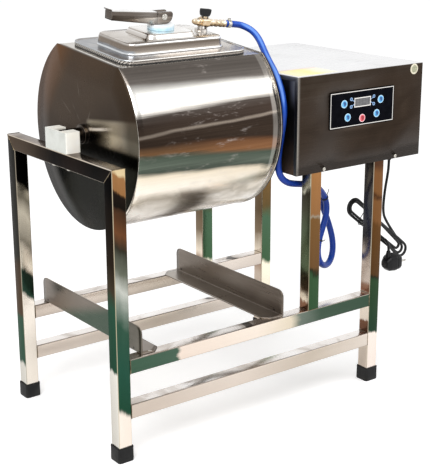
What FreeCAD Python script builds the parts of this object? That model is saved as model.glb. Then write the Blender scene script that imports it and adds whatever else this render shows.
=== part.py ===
import FreeCAD, Part
import math
import os

import Sketcher
from FreeCAD import Placement, Rotation, Vector

# A vacuum meat mixer: a drum with a flat for its lid turns on a frame of square tube,
# driven from a control box. X runs along the drum to the box, Y to the back, Z up.
# The origin lies on the floor under the middle of the machine.

os.makedirs("parts", exist_ok=True)
doc = FreeCAD.newDocument("meat_mixer")
sheet = doc.addObject("Spreadsheet::Sheet", "sizes")
cell_count = 0


class Size:
    """A length of the sheet, or a sum of such lengths: its formula and its present value."""

    def __init__(self, formula, value):
        self.formula = formula
        self.value = value

    def joined(self, sign, other, value, swapped=False):
        pair = (text(other), sign, self.formula) if swapped else (self.formula, sign, text(other))
        return Size("(%s %s %s)" % pair, value)

    def __add__(self, other):
        return self.joined("+", other, self.value + plain(other))

    def __radd__(self, other):
        return self.joined("+", other, self.value + plain(other), swapped=True)

    def __sub__(self, other):
        return self.joined("-", other, self.value - plain(other))

    def __rsub__(self, other):
        return self.joined("-", other, plain(other) - self.value, swapped=True)

    def __mul__(self, other):
        return self.joined("*", other, self.value * plain(other))

    def __rmul__(self, other):
        return self.joined("*", other, self.value * plain(other))

    def __truediv__(self, other):
        return self.joined("/", other, self.value / plain(other))

    def __neg__(self):
        return self.joined("*", -1, -self.value)


def plain(size):
    return size.value if isinstance(size, Size) else size


def text(size):
    return size.formula if isinstance(size, Size) else "%.6g" % size


def size(alias, value, note):
    """Writes one driving dimension into the sheet and gives it back as a Size."""
    global cell_count
    cell_count += 1
    cell = "B%d" % cell_count
    sheet.set("A%d" % cell_count, alias)
    sheet.set(cell, str(value))
    sheet.set("C%d" % cell_count, note)
    sheet.setAlias(cell, alias)
    return Size("sizes." + alias, float(sheet.getContents(cell)))


# Driving dimensions: frame

frame_left = size("frame_left", -423.0, "X of the left legs' outer faces")
frame_front = size("frame_front", -226.95, "Y of the front legs' outer faces")
frame_length = size("frame_length", 736.0, "frame over its legs, along X")
frame_depth = size("frame_depth", 440.0, "frame over its legs, along Y")
tube = size("frame_tube", 32.0, "side of the square tube")
tube_wall = size("tube_wall", 1.5, "wall of the square tube")
tube_corner = size("tube_corner", 3.0, "outer corner radius of the square tube")
end_height = size("end_height", 627.0, "top of the left end frame, which carries the drum")
lower_rail = size("lower_rail", 93.0, "underside of the lower rails")
upper_rail = size("upper_rail", 193.0, "underside of the upper rails")
post_place = size("post_place", 512.0, "middle posts, from the left legs' outer faces")
foot_height = size("foot_height", 33.0, "height of a rubber foot")
foot_wall = size("foot_wall", 3.0, "wall of a rubber foot")
foot_floor = size("foot_floor", 6.0, "rubber under a leg")
fit = size("fit", 0.1, "clearance round a piece that is pushed or turned into another")
seat = size("seat", 0.3, "gap between pieces that pass each other")

# Driving dimensions: tray brackets

bracket_height = size("bracket_height", 60.0, "upright plate of a tray bracket")
bracket_flange = size("bracket_flange", 50.0, "foot of a tray bracket")
bracket_sheet = size("bracket_sheet", 2.0, "sheet of a tray bracket")
bracket_corner = size("bracket_corner", 16.0, "rounded upper corners of a tray bracket")
bracket_clip = size("bracket_clip", 18.0, "clipped corners of a bracket's foot")
bracket_front = size("bracket_front", 8.0, "front end of a tray bracket behind the front legs' faces")
bracket_back = size("bracket_back", 14.0, "rear end of a tray bracket before the rear legs' faces")
left_bracket = size("left_bracket", 65.0, "outer face of the left tray bracket from the frame's left")
right_bracket = size("right_bracket", 445.0, "outer face of the right tray bracket from the frame's left")
screw_radius = size("screw_radius", 2.5, "shank of the small screws")
screw_head = size("screw_head", 4.5, "head radius of the small screws")
screw_head_height = size("screw_head_height", 1.9, "head height of the small screws")
sink_radius = size("sink_radius", 4.1, "head radius of the countersunk bracket screws")

# Driving dimensions: drum and its bearing

drum_place = size("drum_place", 70.0, "outer face of the drum's left disc from the frame's left")
drum_length = size("drum_length", 371.0, "drum over its two discs")
drum_radius = size("drum_radius", 205.0, "outer radius of the drum's shell")
drum_flat = size("drum_flat", 166.0, "distance of the flat from the drum's axis")
drum_wall = size("drum_wall", 2.0, "sheet of the shell")
disc_wall = size("disc_wall", 3.0, "thickness of the end discs")
disc_lip = size("disc_lip", 1.0, "how far the discs stand past the shell")
journal_seat = size("journal_seat", 28.0, "drum's axis above the left end frame")
drum_turn = size("drum_turn", 6.0, "degrees by which the lid leans to the front at rest")
mouth_length = size("mouth_length", 250.0, "mouth in the flat, along X")
mouth_width = size("mouth_width", 160.0, "mouth in the flat, across")
mouth_corner = size("mouth_corner", 28.0, "corner radius of the mouth")
lid_place = size("lid_place", 182.5, "middle of the lid from the left disc's outer face")
paddle_height = size("paddle_height", 34.0, "height of a paddle inside the drum")
paddle_foot = size("paddle_foot", 48.0, "width of a paddle at its foot")
paddle_margin = size("paddle_margin", 30.0, "distance of the paddles from the discs")
hub_radius = size("hub_radius", 25.0, "ring on the left disc")
hub_height = size("hub_height", 10.0, "how far that ring stands out")
journal_radius = size("journal_radius", 15.0, "journal that lies in the bearing block")
journal_end = size("journal_end", 6.0, "end of the journal from the frame's left")
block_length = size("block_length", 35.0, "bearing block along X")
block_width = size("block_width", 88.0, "bearing block along Y")
block_height = size("block_height", 44.0, "bearing block above the end frame")
block_wall = size("block_wall", 5.0, "closed end of the block's pocket")
running = size("running", 0.05, "radial clearance of a turning fit")
block_bolt = size("block_bolt", 4.0, "shank radius of the block's bolts")
block_bolt_place = size("block_bolt_place", 31.0, "block's bolts from its middle")
block_bolt_depth = size("block_bolt_depth", 18.0, "how far the bolts reach into the block")
bolt_head = size("bolt_head", 6.5, "half width of a bolt head across its flats")
bolt_head_height = size("bolt_head_height", 5.3, "height of a bolt head")
coupling_radius = size("coupling_radius", 30.0, "both halves of the drum's coupling")
coupling_height = size("coupling_height", 9.0, "half of the coupling that is on the drum")
flange_height = size("flange_height", 8.0, "half of the coupling that is on the shaft")
tongue_width = size("tongue_width", 14.0, "tongue of the coupling")
tongue_height = size("tongue_height", 6.0, "how far the tongue reaches into its slot")
shaft_radius = size("shaft_radius", 12.5, "drive shaft")
shaft_reach = size("shaft_reach", 62.0, "length of the drive shaft inside the gearbox")

# Driving dimensions: lid

gasket_length = size("gasket_length", 305.0, "lid and gasket along X")
gasket_width = size("gasket_width", 215.0, "lid and gasket across")
gasket_corner = size("gasket_corner", 32.0, "corner radius of the lid")
gasket_rim = size("gasket_rim", 26.0, "width of the gasket's ring")
gasket_height = size("gasket_height", 8.0, "thickness of the gasket")
lid_sheet = size("lid_sheet", 2.0, "sheet of the lid")
block_step_length = size("block_step_length", 217.0, "raised block of the lid along X, at its foot")
block_step_width = size("block_step_width", 162.0, "raised block of the lid across, at its foot")
block_step_corner = size("block_step_corner", 24.0, "corner radius of the raised block")
block_step_height = size("block_step_height", 30.0, "raised block above the lid's flange")
draft = size("draft", 5.0, "degrees of draft of the raised block")
step_edge = size("step_edge", 6.0, "radius along the top of the raised block")
boss_length = size("boss_length", 110.0, "embossed step along X, at its foot")
boss_width = size("boss_width", 92.0, "embossed step across, at its foot")
boss_corner = size("boss_corner", 12.0, "corner radius of the embossed step")
boss_height = size("boss_height", 3.0, "height of the embossed step")
washer_radius = size("washer_radius", 29.0, "white plastic washer")
washer_height = size("washer_height", 12.0, "height of the washer")
stem_radius = size("stem_radius", 6.0, "clamp stem")
bar_length = size("bar_length", 186.0, "clamp bar")
bar_width = size("bar_width", 30.0, "width of the clamp bar")
bar_height = size("bar_height", 8.0, "thickness of the clamp bar")
stem_nut = size("stem_nut", 10.0, "height of the nut under the clamp bar")
cam_low = size("cam_low", 15.0, "pivot above the washer with the lever down")
cam_lift = size("cam_lift", 6.0, "how far the upright lever pulls the stem up")
lever_length = size("lever_length", 148.0, "lever from its pivot to its free end")
lever_top = size("lever_top", 11.0, "upper edge of the lever above its pivot")
lever_tail = size("lever_tail", 8.0, "lower edge of the lever's free end below its pivot")
lever_width = size("lever_width", 26.0, "width of the lever")
lever_sheet = size("lever_sheet", 2.5, "sheet of the lever")
lever_slot = size("lever_slot", 17.0, "open part of the lever's back from the pivot")
lever_lip = size("lever_lip", 9.0, "finger lip of the lever")
pin_radius = size("pin_radius", 4.0, "lever pin")
pin_head = size("pin_head", 7.0, "head radius of the lever pin")
pin_head_height = size("pin_head_height", 3.0, "head height of the lever pin")

# Driving dimensions: valve

valve_place = size("valve_place", 89.5, "elbow from the middle of the lid")
valve_height = size("valve_height", 12.5, "valve's axis above the top of the raised block")
valve_tilt = size("valve_tilt", 7.0, "degrees by which the valve dips to the drive end")
elbow_radius = size("elbow_radius", 7.0, "elbow")
elbow_reach = size("elbow_reach", 8.0, "elbow to the valve body")
valve_length = size("valve_length", 32.0, "valve body")
valve_radius = size("valve_radius", 9.0, "round ends of the valve body")
valve_flats = size("valve_flats", 11.0, "half width of the valve body across its flats")
ball_radius = size("ball_radius", 7.0, "ball in the valve")
ball_bore = size("ball_bore", 4.0, "way through the ball")
spindle_radius = size("spindle_radius", 3.0, "spindle of the ball")
handle_length = size("handle_length", 24.0, "butterfly handle")
handle_thick = size("handle_thick", 10.0, "thickness of the butterfly handle")
handle_height = size("handle_height", 14.0, "height of the butterfly handle")
handle_gap = size("handle_gap", 1.5, "handle above the valve body")
barb_end = size("barb_end", 102.0, "end of the barb from the elbow")
barb_radius = size("barb_radius", 5.0, "barb inside the hose")
barb_collar = size("barb_collar", 8.5, "collars of the barb")
hose_radius = size("hose_radius", 7.5, "vacuum hose")
sleeve_length = size("sleeve_length", 18.0, "hose on the barb")
clamp_length = size("clamp_length", 9.0, "hose clamp along the hose")
clamp_band = size("clamp_band", 1.5, "band of the hose clamp")

# Driving dimensions: control box

box_place = size("box_place", 468.0, "left side of the control box from the frame's left")
box_length = size("box_length", 381.0, "control box along X")
box_front = size("box_front", -1.0, "front of the control box from the front legs' faces")
box_overhang = size("box_overhang", 15.0, "how far the control box stands behind the rear legs")
box_height = size("box_height", 217.0, "height of the control box")
drive_height = size("drive_height", 109.0, "drum's axis above the underside of the control box")
box_sheet = size("box_sheet", 1.5, "sheet of the control box")
box_wrap = size("box_wrap", 10.0, "how far the cover wraps round its sides")
box_lip = size("box_lip", 18.0, "upturned lips of the chassis")
cover_screw_left = size("cover_screw_left", 549.0, "left cover screws from the frame's left")
cover_screw_right = size("cover_screw_right", 770.0, "right cover screws from the frame's left")
cover_screw_height = size("cover_screw_height", 5.5, "cover screws above the box's underside")
panel_place = size("panel_place", 658.7, "middle of the key panel from the frame's left")
panel_height_place = size("panel_height_place", 678.0, "height of the key panel's middle")
panel_length = size("panel_length", 195.5, "key panel along X")
panel_height = size("panel_height", 81.5, "height of the key panel")
panel_sheet = size("panel_sheet", 1.2, "thickness of the key panel")
panel_corner = size("panel_corner", 5.0, "corner radius of the key panel")
window_length = size("window_length", 182.0, "opening behind the key panel along X")
window_height = size("window_height", 71.0, "height of the opening behind the key panel")
key_radius = size("key_radius", 9.0, "keys")
key_proud = size("key_proud", 0.7, "how far a key stands out of its panel")
key_travel = size("key_travel", 0.5, "travel of a key")
key_collar = size("key_collar", 10.5, "collar that keeps a key behind the panel")
upper_key = size("upper_key", 55.7, "upper keys from the panel's middle along X")
lower_key = size("lower_key", 44.5, "lower keys from the panel's middle along X")
upper_key_height = size("upper_key_height", 13.0, "upper keys above the panel's middle")
lower_key_height = size("lower_key_height", -18.0, "lower keys from the panel's middle")
middle_key_height = size("middle_key_height", -24.0, "red key from the panel's middle")
display_length = size("display_length", 46.0, "display window along X")
display_height = size("display_height", 17.0, "height of the display window")
display_place = size("display_place", 12.7, "display above the panel's middle")
light_radius = size("light_radius", 1.5, "indicator lights")
light_place = size("light_place", 34.5, "indicator lights from the panel's middle along X")
light_upper = size("light_upper", 21.7, "upper lights above the panel's middle")
light_lower = size("light_lower", 4.6, "lower lights above the panel's middle")
board_gap = size("board_gap", 5.0, "circuit board behind the front sheet's outer face")
board_sheet = size("board_sheet", 1.6, "thickness of the circuit board")
gearbox_side = size("gearbox_side", 90.0, "side of the gearbox")
gearbox_length = size("gearbox_length", 74.0, "gearbox along X")
gearbox_flange = size("gearbox_flange", 8.0, "thickness of the gearbox's flange")
motor_radius = size("motor_radius", 44.0, "drive motor")
motor_length = size("motor_length", 140.0, "drive motor along X")
pump_length = size("pump_length", 120.0, "vacuum pump along X")
pump_depth = size("pump_depth", 90.0, "vacuum pump along Y")
pump_height = size("pump_height", 96.0, "height of the vacuum pump's housing")
pump_place = size("pump_place", 137.0, "left end of the vacuum pump from the box's right side")
pump_back = size("pump_back", 125.0, "front of the vacuum pump from the box's back")
pump_foot = size("pump_foot", 8.0, "rubber feet of the vacuum pump")
fitting_place = size("fitting_place", 156.0, "hose fitting from the box's left side")
fitting_back = size("fitting_back", 113.0, "hose fitting behind the box's front")
fitting_drop = size("fitting_drop", 26.0, "hose fitting below the box")
gland_place = size("gland_place", 37.0, "cord gland from the box's right side")
gland_back = size("gland_back", 61.0, "cord gland behind the box's front")
gland_drop = size("gland_drop", 21.0, "cord gland below the box")
cord_radius = size("cord_radius", 3.25, "power cord")
plug_radius = size("plug_radius", 18.5, "plug")
plug_length = size("plug_length", 36.0, "plug without its pins")
plug_pin = size("plug_pin", 2.4, "pins of the plug")
plug_pin_length = size("plug_pin_length", 19.0, "length of a pin")
plug_pin_place = size("plug_pin_place", 9.5, "pins from the plug's middle")

doc.recompute()

frame_right = frame_left + frame_length
frame_back = frame_front + frame_depth
axis_y = frame_front + frame_depth / 2
axis_height = end_height + journal_seat
box_floor = axis_height - drive_height
bracket_length = frame_depth - bracket_front - bracket_back
half_tube = tube / 2

nodes = []


# Helpers: placing, sketches and features

def bind(obj, prop, length):
    """Ties one property to the sheet."""
    obj.setExpression(prop, text(length))


def at(obj, x, y, z):
    for letter, distance in zip("xyz", (x, y, z)):
        bind(obj, "Placement.Base." + letter, distance)
    return obj


def kept(obj, label):
    """Names a finished sub-part."""
    obj.Label = label
    nodes.append(obj)
    return obj


def in_drum(obj):
    """Carries a piece drawn along the drum's own axes, from the left disc, to its place."""
    obj.Placement = Placement(Vector(), Rotation(Vector(1, 0, 0), plain(drum_turn)))
    bind(obj, "Placement.Rotation.Angle", drum_turn)
    return at(obj, frame_left + drum_place, axis_y, axis_height)


def new_body(name):
    return doc.addObject("PartDesign::Body", name)


def sketch_on(body, role, shift=(0, 0, 0)):
    """A sketch on one of the body's planes, shifted along its own x, y and normal."""
    sketch = body.newObject("Sketcher::SketchObject", body.Name + "_sketch")
    plane = [feature for feature in body.Origin.OriginFeatures if feature.Role == role][0]
    sketch.AttachmentSupport = [(plane, "")]
    sketch.MapMode = "FlatFace"
    for letter, distance in zip("xyz", shift):
        bind(sketch, "AttachmentOffset.Base." + letter, distance)
    return sketch


def dimension(sketch, kind, items, length):
    """Adds a driving dimension to a sketch and ties it to the sheet."""
    index = sketch.addConstraint(Sketcher.Constraint(kind, *items, plain(length)))
    sketch.setExpression("Constraints[%d]" % index, text(length))


def hold(sketch, curve, point, x, y):
    """Keeps a point of a sketch at its distances from the sketch's centre."""
    for kind, axis, distance in (("DistanceX", -2, x), ("DistanceY", -1, y)):
        if isinstance(distance, Size):
            dimension(sketch, kind, (-1, 1, curve, point), distance)
        elif distance == 0:
            sketch.addConstraint(Sketcher.Constraint("PointOnObject", curve, point, axis))
        else:
            sketch.addConstraint(Sketcher.Constraint(kind, -1, 1, curve, point, distance))


def outline(sketch, points):
    """A closed outline of straight lines through the points."""
    corners = [Vector(plain(x), plain(y), 0) for x, y in points]
    first = len(sketch.Geometry)
    count = len(points)
    for index in range(count):
        sketch.addGeometry(Part.LineSegment(corners[index], corners[(index + 1) % count]))
    for index, (x, y) in enumerate(points):
        following = first + (index + 1) % count
        sketch.addConstraint(Sketcher.Constraint("Coincident", first + index, 2, following, 1))
        hold(sketch, first + index, 1, x, y)


def circle(sketch, radius, x=0, y=0):
    centre = Vector(plain(x), plain(y), 0)
    curve = sketch.addGeometry(Part.Circle(centre, Vector(0, 0, 1), plain(radius)))
    hold(sketch, curve, 3, x, y)
    dimension(sketch, "Radius", (curve,), radius)


def rounded(sketch, width, height, radius):
    """A rectangle round the sketch's centre, with rounded corners."""
    across = plain(width) / 2
    up = plain(height) / 2
    bend = plain(radius)
    first = len(sketch.Geometry)
    ends = [(bend - across, -up, across - bend, -up), (across, bend - up, across, up - bend),
            (across - bend, up, bend - across, up), (-across, up - bend, -across, bend - up)]
    centres = [(across - bend, bend - up), (across - bend, up - bend),
               (bend - across, up - bend), (bend - across, bend - up)]
    for x1, y1, x2, y2 in ends:
        sketch.addGeometry(Part.LineSegment(Vector(x1, y1, 0), Vector(x2, y2, 0)))
    for index, (x, y) in enumerate(centres):
        turn = Part.Circle(Vector(x, y, 0), Vector(0, 0, 1), bend)
        start = (index - 1) * math.pi / 2
        sketch.addGeometry(Part.ArcOfCircle(turn, start, start + math.pi / 2))
    lines = [first + index for index in range(4)]
    arcs = [first + 4 + index for index in range(4)]
    for index in range(4):
        following = lines[(index + 1) % 4]
        sketch.addConstraint(Sketcher.Constraint("Tangent", lines[index], 2, arcs[index], 1))
        sketch.addConstraint(Sketcher.Constraint("Tangent", arcs[index], 2, following, 1))
    for index in (0, 2):
        sketch.addConstraint(Sketcher.Constraint("Horizontal", lines[index]))
        sketch.addConstraint(Sketcher.Constraint("Vertical", lines[index + 1]))
    for index in (1, 2, 3):
        sketch.addConstraint(Sketcher.Constraint("Equal", arcs[0], arcs[index]))
    dimension(sketch, "Radius", (arcs[0],), radius)
    dimension(sketch, "DistanceX", (lines[3], 1, lines[1], 1), width)
    dimension(sketch, "DistanceY", (lines[0], 1, lines[2], 1), height)
    sketch.addConstraint(Sketcher.Constraint("Symmetric", arcs[3], 3, arcs[1], 3, -1, 1))


def rectangle(sketch, width, height):
    outline(sketch, [(-(width / 2), -(height / 2)), (width / 2, -(height / 2)),
                     (width / 2, height / 2), (-(width / 2), height / 2)])


def pad(body, sketch, length, backward=False, both=False, taper=None):
    feature = body.newObject("PartDesign::Pad", body.Name + "_pad")
    feature.Profile = sketch
    bind(feature, "Length", length)
    feature.Reversed = backward
    feature.Midplane = both
    if taper is not None:
        bind(feature, "TaperAngle", taper)
    return feature


def pocket(body, sketch, depth, backward=False, both=False, taper=None):
    """Cuts a sketch into the body, and stops where that takes nothing away."""
    doc.recompute()
    volume = body.Shape.Volume
    feature = body.newObject("PartDesign::Pocket", body.Name + "_pocket")
    feature.Profile = sketch
    bind(feature, "Length", depth)
    feature.Reversed = backward
    feature.Midplane = both
    if taper is not None:
        bind(feature, "TaperAngle", taper)
    doc.recompute()
    if body.Shape.Volume >= volume:
        raise ValueError("a pocket of %s cuts nothing" % body.Name)
    return feature


def revolve(body, sketch):
    """Turns a sketch a whole turn round its own horizontal axis."""
    feature = body.newObject("PartDesign::Revolution", body.Name + "_revolution")
    feature.Profile = sketch
    feature.ReferenceAxis = (sketch, ["H_Axis"])
    feature.Angle = 360.0
    return feature


def round_edges(body, radius, chosen, kind="Fillet"):
    """Fillets or chamfers the edges of the body that the test picks."""
    doc.recompute()
    last = body.Tip
    picked = ["Edge%d" % (index + 1) for index, edge in enumerate(last.Shape.Edges) if chosen(edge)]
    if not picked:
        raise ValueError("no edge to finish on %s" % body.Name)
    feature = body.newObject("PartDesign::" + kind, body.Name + "_edges")
    feature.Base = (last, picked)
    bind(feature, "Radius" if kind == "Fillet" else "Size", radius)
    return feature


def near(a, b):
    return abs(a - plain(b)) < 1e-4


def flat_at(edge, height):
    """True for an edge that lies at one height."""
    box = edge.BoundBox
    return near(box.ZMin, height) and near(box.ZMax, height)


def upright(edge):
    box = edge.BoundBox
    return box.ZLength > 1e-3 and box.XLength < 1e-4 and box.YLength < 1e-4


def box(name, lengths, corner):
    """A plain block from its corner, as a tool or as a part of a larger piece."""
    piece = doc.addObject("Part::Box", name)
    for prop, length in zip(("Length", "Width", "Height"), lengths):
        bind(piece, prop, length)
    return at(piece, *corner)


TURNS = {"X": Rotation(Vector(0, 1, 0), 90), "Y": Rotation(Vector(1, 0, 0), -90), "Z": Rotation()}


def cylinder(name, radius, height, start, along="Z"):
    """A round bar from the middle of its first end."""
    piece = doc.addObject("Part::Cylinder", name)
    piece.Placement = Placement(Vector(), TURNS[along])
    bind(piece, "Radius", radius)
    bind(piece, "Height", height)
    return at(piece, *start)


def hexagon(name, flats, height, start, along="Z"):
    """A hexagon bar from the middle of its first end; flats is half its width."""
    piece = doc.addObject("Part::Prism", name)
    piece.Placement = Placement(Vector(), TURNS[along] * Rotation(Vector(0, 0, 1), 30))
    piece.Polygon = 6
    bind(piece, "Circumradius", flats / math.cos(math.pi / 6))
    bind(piece, "Height", height)
    return at(piece, *start)


def fused(name, pieces):
    whole = doc.addObject("Part::MultiFuse", name)
    whole.Shapes = pieces
    whole.Refine = True
    return whole


def cut(name, base, tools):
    tool = tools[0]
    if len(tools) > 1:
        tool = doc.addObject("Part::MultiFuse", name + "_tools")
        tool.Shapes = tools
    piece = doc.addObject("Part::Cut", name)
    piece.Base = base
    piece.Tool = tool
    return piece


def group(name, pieces):
    whole = doc.addObject("Part::Compound", name)
    whole.Links = pieces
    return whole


# Frame: square tube, mitred where the left legs meet the bar that carries the drum

PLANES = {"X": "YZ_Plane", "Y": "XZ_Plane", "Z": "XY_Plane"}
PAST = 5.0


def square_tube(label, along, length, x, y, z):
    """A length of tube from the middle of its first end."""
    body = new_body(label)
    section = sketch_on(body, PLANES[along])
    rounded(section, tube, tube, tube_corner)
    rounded(section, tube - 2 * tube_wall, tube - 2 * tube_wall, tube_corner - tube_wall)
    pad(body, section, length, backward=(along == "Y"))
    kept(body, label)
    return at(body, x, y, z)


def mitre(body, corner_y, corner_z, side_y, side_z):
    """Cuts a tube at 45 degrees through a corner, and removes the side that is named."""
    section = sketch_on(body, "YZ_Plane")
    near_end = (corner_y - side_y * PAST, corner_z + side_z * PAST)
    far_end = (corner_y + side_y * (tube + PAST), corner_z - side_z * (tube + PAST))
    outline(section, [near_end, (far_end[0], near_end[1]), far_end])
    pocket(body, section, 2 * tube, both=True)


leg_y = {"front": frame_front + half_tube, "rear": frame_back - half_tube}
left_leg_x = frame_left + half_tube
right_leg_x = frame_right - half_tube
left_leg_length = end_height - foot_floor
for end, inward in (("front", 1), ("rear", -1)):
    leg = square_tube("left_%s_leg" % end, "Z", left_leg_length, left_leg_x, leg_y[end], foot_floor)
    mitre(leg, -inward * half_tube, left_leg_length, inward, 1)
    square_tube("right_%s_leg" % end, "Z", box_floor - foot_floor, right_leg_x, leg_y[end], foot_floor)
    square_tube("%s_middle_post" % end, "Z", box_floor - upper_rail - tube,
                frame_left + post_place + half_tube, leg_y[end], upper_rail + tube)

end_bar = square_tube("drum_end_bar", "Y", frame_depth, left_leg_x, frame_front, end_height - half_tube)
for far in (False, True):
    cut_section = sketch_on(end_bar, "YZ_Plane")
    edge = frame_depth if far else Size("0", 0.0)
    inward = -1 if far else 1
    outline(cut_section, [(edge - inward * PAST, half_tube + PAST),
                          (edge + inward * (tube + PAST), -(half_tube + PAST)),
                          (edge - inward * PAST, -(half_tube + PAST))])
    pocket(end_bar, cut_section, 2 * tube, both=True)
bolt_holes = sketch_on(end_bar, "XY_Plane", (0, 0, tube))
for side in (-1, 1):
    circle(bolt_holes, block_bolt + fit, 0, frame_depth / 2 + side * block_bolt_place)
pocket(end_bar, bolt_holes, 2 * tube)

rail_length = frame_length - 2 * tube
bracket_screws_x = (left_bracket + bracket_flange / 2, right_bracket - bracket_flange / 2)
for end in ("front", "rear"):
    square_tube("lower_%s_rail" % end, "X", rail_length, frame_left + tube, leg_y[end],
                lower_rail + half_tube)
    rail = square_tube("upper_%s_rail" % end, "X", rail_length, frame_left + tube, leg_y[end],
                       upper_rail + half_tube)
    holes = sketch_on(rail, "XY_Plane", (0, 0, tube))
    for place in bracket_screws_x:
        circle(holes, screw_radius + fit, place - tube, 0)
    pocket(rail, holes, tube)

feet = []
for end in ("front", "rear"):
    for side, leg_x in (("left", left_leg_x), ("right", right_leg_x)):
        foot = new_body("foot_%s_%s" % (side, end))
        cap = sketch_on(foot, "XY_Plane")
        rounded(cap, tube + 2 * foot_wall, tube + 2 * foot_wall, tube_corner + foot_wall)
        pad(foot, cap, foot_height)
        socket = sketch_on(foot, "XY_Plane", (0, 0, foot_height))
        rounded(socket, tube + 2 * fit, tube + 2 * fit, tube_corner + fit)
        pocket(foot, socket, foot_height - foot_floor)
        feet.append(at(foot, leg_x, leg_y[end], 0))
kept(group("feet", feet), "rubber_feet")


# Tray brackets: folded plates on the upper rails, one each side of the tray

bracket_base = upper_rail + tube
bracket_y = frame_front + bracket_front
screw_y = {end: leg_y[end] for end in leg_y}


def tray_bracket(label, place, hand):
    """An angle of sheet whose foot points to the tray; hand is +1 where that is +X."""
    body = new_body(label)
    section = sketch_on(body, "XZ_Plane")
    outline(section, [(0, 0), (hand * bracket_flange, 0), (hand * bracket_flange, bracket_sheet),
                      (hand * bracket_sheet, bracket_sheet), (hand * bracket_sheet, bracket_height),
                      (0, bracket_height)])
    pad(body, section, bracket_length, backward=True)
    doc.recompute()
    corner_z = plain(bracket_height)
    round_edges(body, bracket_corner, lambda edge: flat_at(edge, corner_z) and edge.BoundBox.YLength < 1e-3)
    flange_x = abs(plain(bracket_flange))
    round_edges(body, bracket_clip, lambda edge: upright(edge)
                and near(abs(edge.BoundBox.XMin), flange_x), "Chamfer")
    bend = plain(bracket_sheet)
    round_edges(body, bracket_sheet, lambda edge: flat_at(edge, 0) and near(edge.BoundBox.XMax, 0)
                and near(edge.BoundBox.XMin, 0) and edge.BoundBox.YLength > bend)
    holes = sketch_on(body, "XY_Plane", (0, 0, bracket_height))
    for end in ("front", "rear"):
        circle(holes, screw_radius + fit, hand * bracket_flange / 2, screw_y[end] - bracket_y)
    pocket(body, holes, bracket_height + bracket_sheet)
    foot_top = plain(bracket_sheet)
    hole_width = 2 * plain(screw_radius + fit)
    round_edges(body, sink_radius - screw_radius, lambda edge: flat_at(edge, foot_top)
                and near(edge.BoundBox.XLength, hole_width), "Chamfer")
    kept(body, label)
    return at(body, frame_left + place, bracket_y, bracket_base)


tray_bracket("left_tray_bracket", left_bracket, 1)
tray_bracket("right_tray_bracket", right_bracket, -1)


def sunk_screw(name, radius, head, shank, start):
    """A screw with a countersunk head, flush with the sheet; start is the middle of its head's top."""
    body = new_body(name)
    profile = sketch_on(body, "XY_Plane")
    outline(profile, [(0, 0), (0, head), (head - radius, radius), (shank, radius), (shank, 0)])
    revolve(body, profile)
    body.Placement = Placement(Vector(), Rotation(Vector(0, 1, 0), 90))
    return at(body, *start)


screws = []
for place in bracket_screws_x:
    for end in ("front", "rear"):
        name = "bracket_screw_%d" % len(screws)
        spot = (frame_left + place, screw_y[end], bracket_base + bracket_sheet - seat / 4)
        screws.append(sunk_screw(name, screw_radius, sink_radius, bracket_sheet + 3 * tube_wall, spot))
kept(group("bracket_fixings", screws), "bracket_screws")


# Bearing block: white plastic, with an open pocket that the journal is lifted out of

block = new_body("bearing_block")
block_plan = sketch_on(block, "XY_Plane", (block_length / 2, 0, 0))
rectangle(block_plan, block_length, block_width)
pad(block, block_plan, block_height)
round_edges(block, seat * 10, upright)
pocket_sketch = sketch_on(block, "YZ_Plane", (0, 0, block_length + PAST))
pocket_radius = journal_radius + running
cradle = journal_seat
bottom = Part.Circle(Vector(0, plain(cradle), 0), Vector(0, 0, 1), plain(pocket_radius))
bowl = pocket_sketch.addGeometry(Part.ArcOfCircle(bottom, math.pi, 2 * math.pi))
left_x = -plain(pocket_radius)
open_top = plain(block_height) + PAST
corners = [Vector(-left_x, plain(cradle), 0), Vector(-left_x, open_top, 0),
           Vector(left_x, open_top, 0), Vector(left_x, plain(cradle), 0)]
sides = [pocket_sketch.addGeometry(Part.LineSegment(corners[index], corners[index + 1]))
         for index in range(3)]
hold(pocket_sketch, bowl, 3, 0, cradle)
dimension(pocket_sketch, "Radius", (bowl,), pocket_radius)
for one, other in ((bowl, sides[0]), (sides[2], bowl)):
    pocket_sketch.addConstraint(Sketcher.Constraint("Tangent", one, 2, other, 1))
for index in (0, 1):
    pocket_sketch.addConstraint(Sketcher.Constraint("Coincident", sides[index], 2, sides[index + 1], 1))
pocket_sketch.addConstraint(Sketcher.Constraint("Vertical", sides[0]))
pocket_sketch.addConstraint(Sketcher.Constraint("Horizontal", sides[1]))
dimension(pocket_sketch, "DistanceY", (-1, 1, sides[1], 1), block_height + PAST)
pocket(block, pocket_sketch, block_length + PAST - block_wall)
block_holes = sketch_on(block, "XY_Plane")
for side in (-1, 1):
    circle(block_holes, block_bolt + fit, half_tube, side * block_bolt_place)
pocket(block, block_holes, block_bolt_depth + 1, backward=True)
at(kept(block, "bearing_block"), frame_left, axis_y, end_height)

bolts = []
for side in (-1, 1):
    bolt_y = axis_y + side * block_bolt_place
    head = hexagon("block_bolt_head", bolt_head, bolt_head_height,
                   (left_leg_x, bolt_y, end_height - tube - bolt_head_height))
    shank = cylinder("block_bolt_shank", block_bolt, tube + block_bolt_depth,
                     (left_leg_x, bolt_y, end_height - tube))
    bolts.append(fused("block_bolt", [head, shank]))
kept(group("block_fixings", bolts), "bearing_bolts")


# Drum: shell with its flat and mouth, two discs, journal, coupling and paddles

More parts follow.
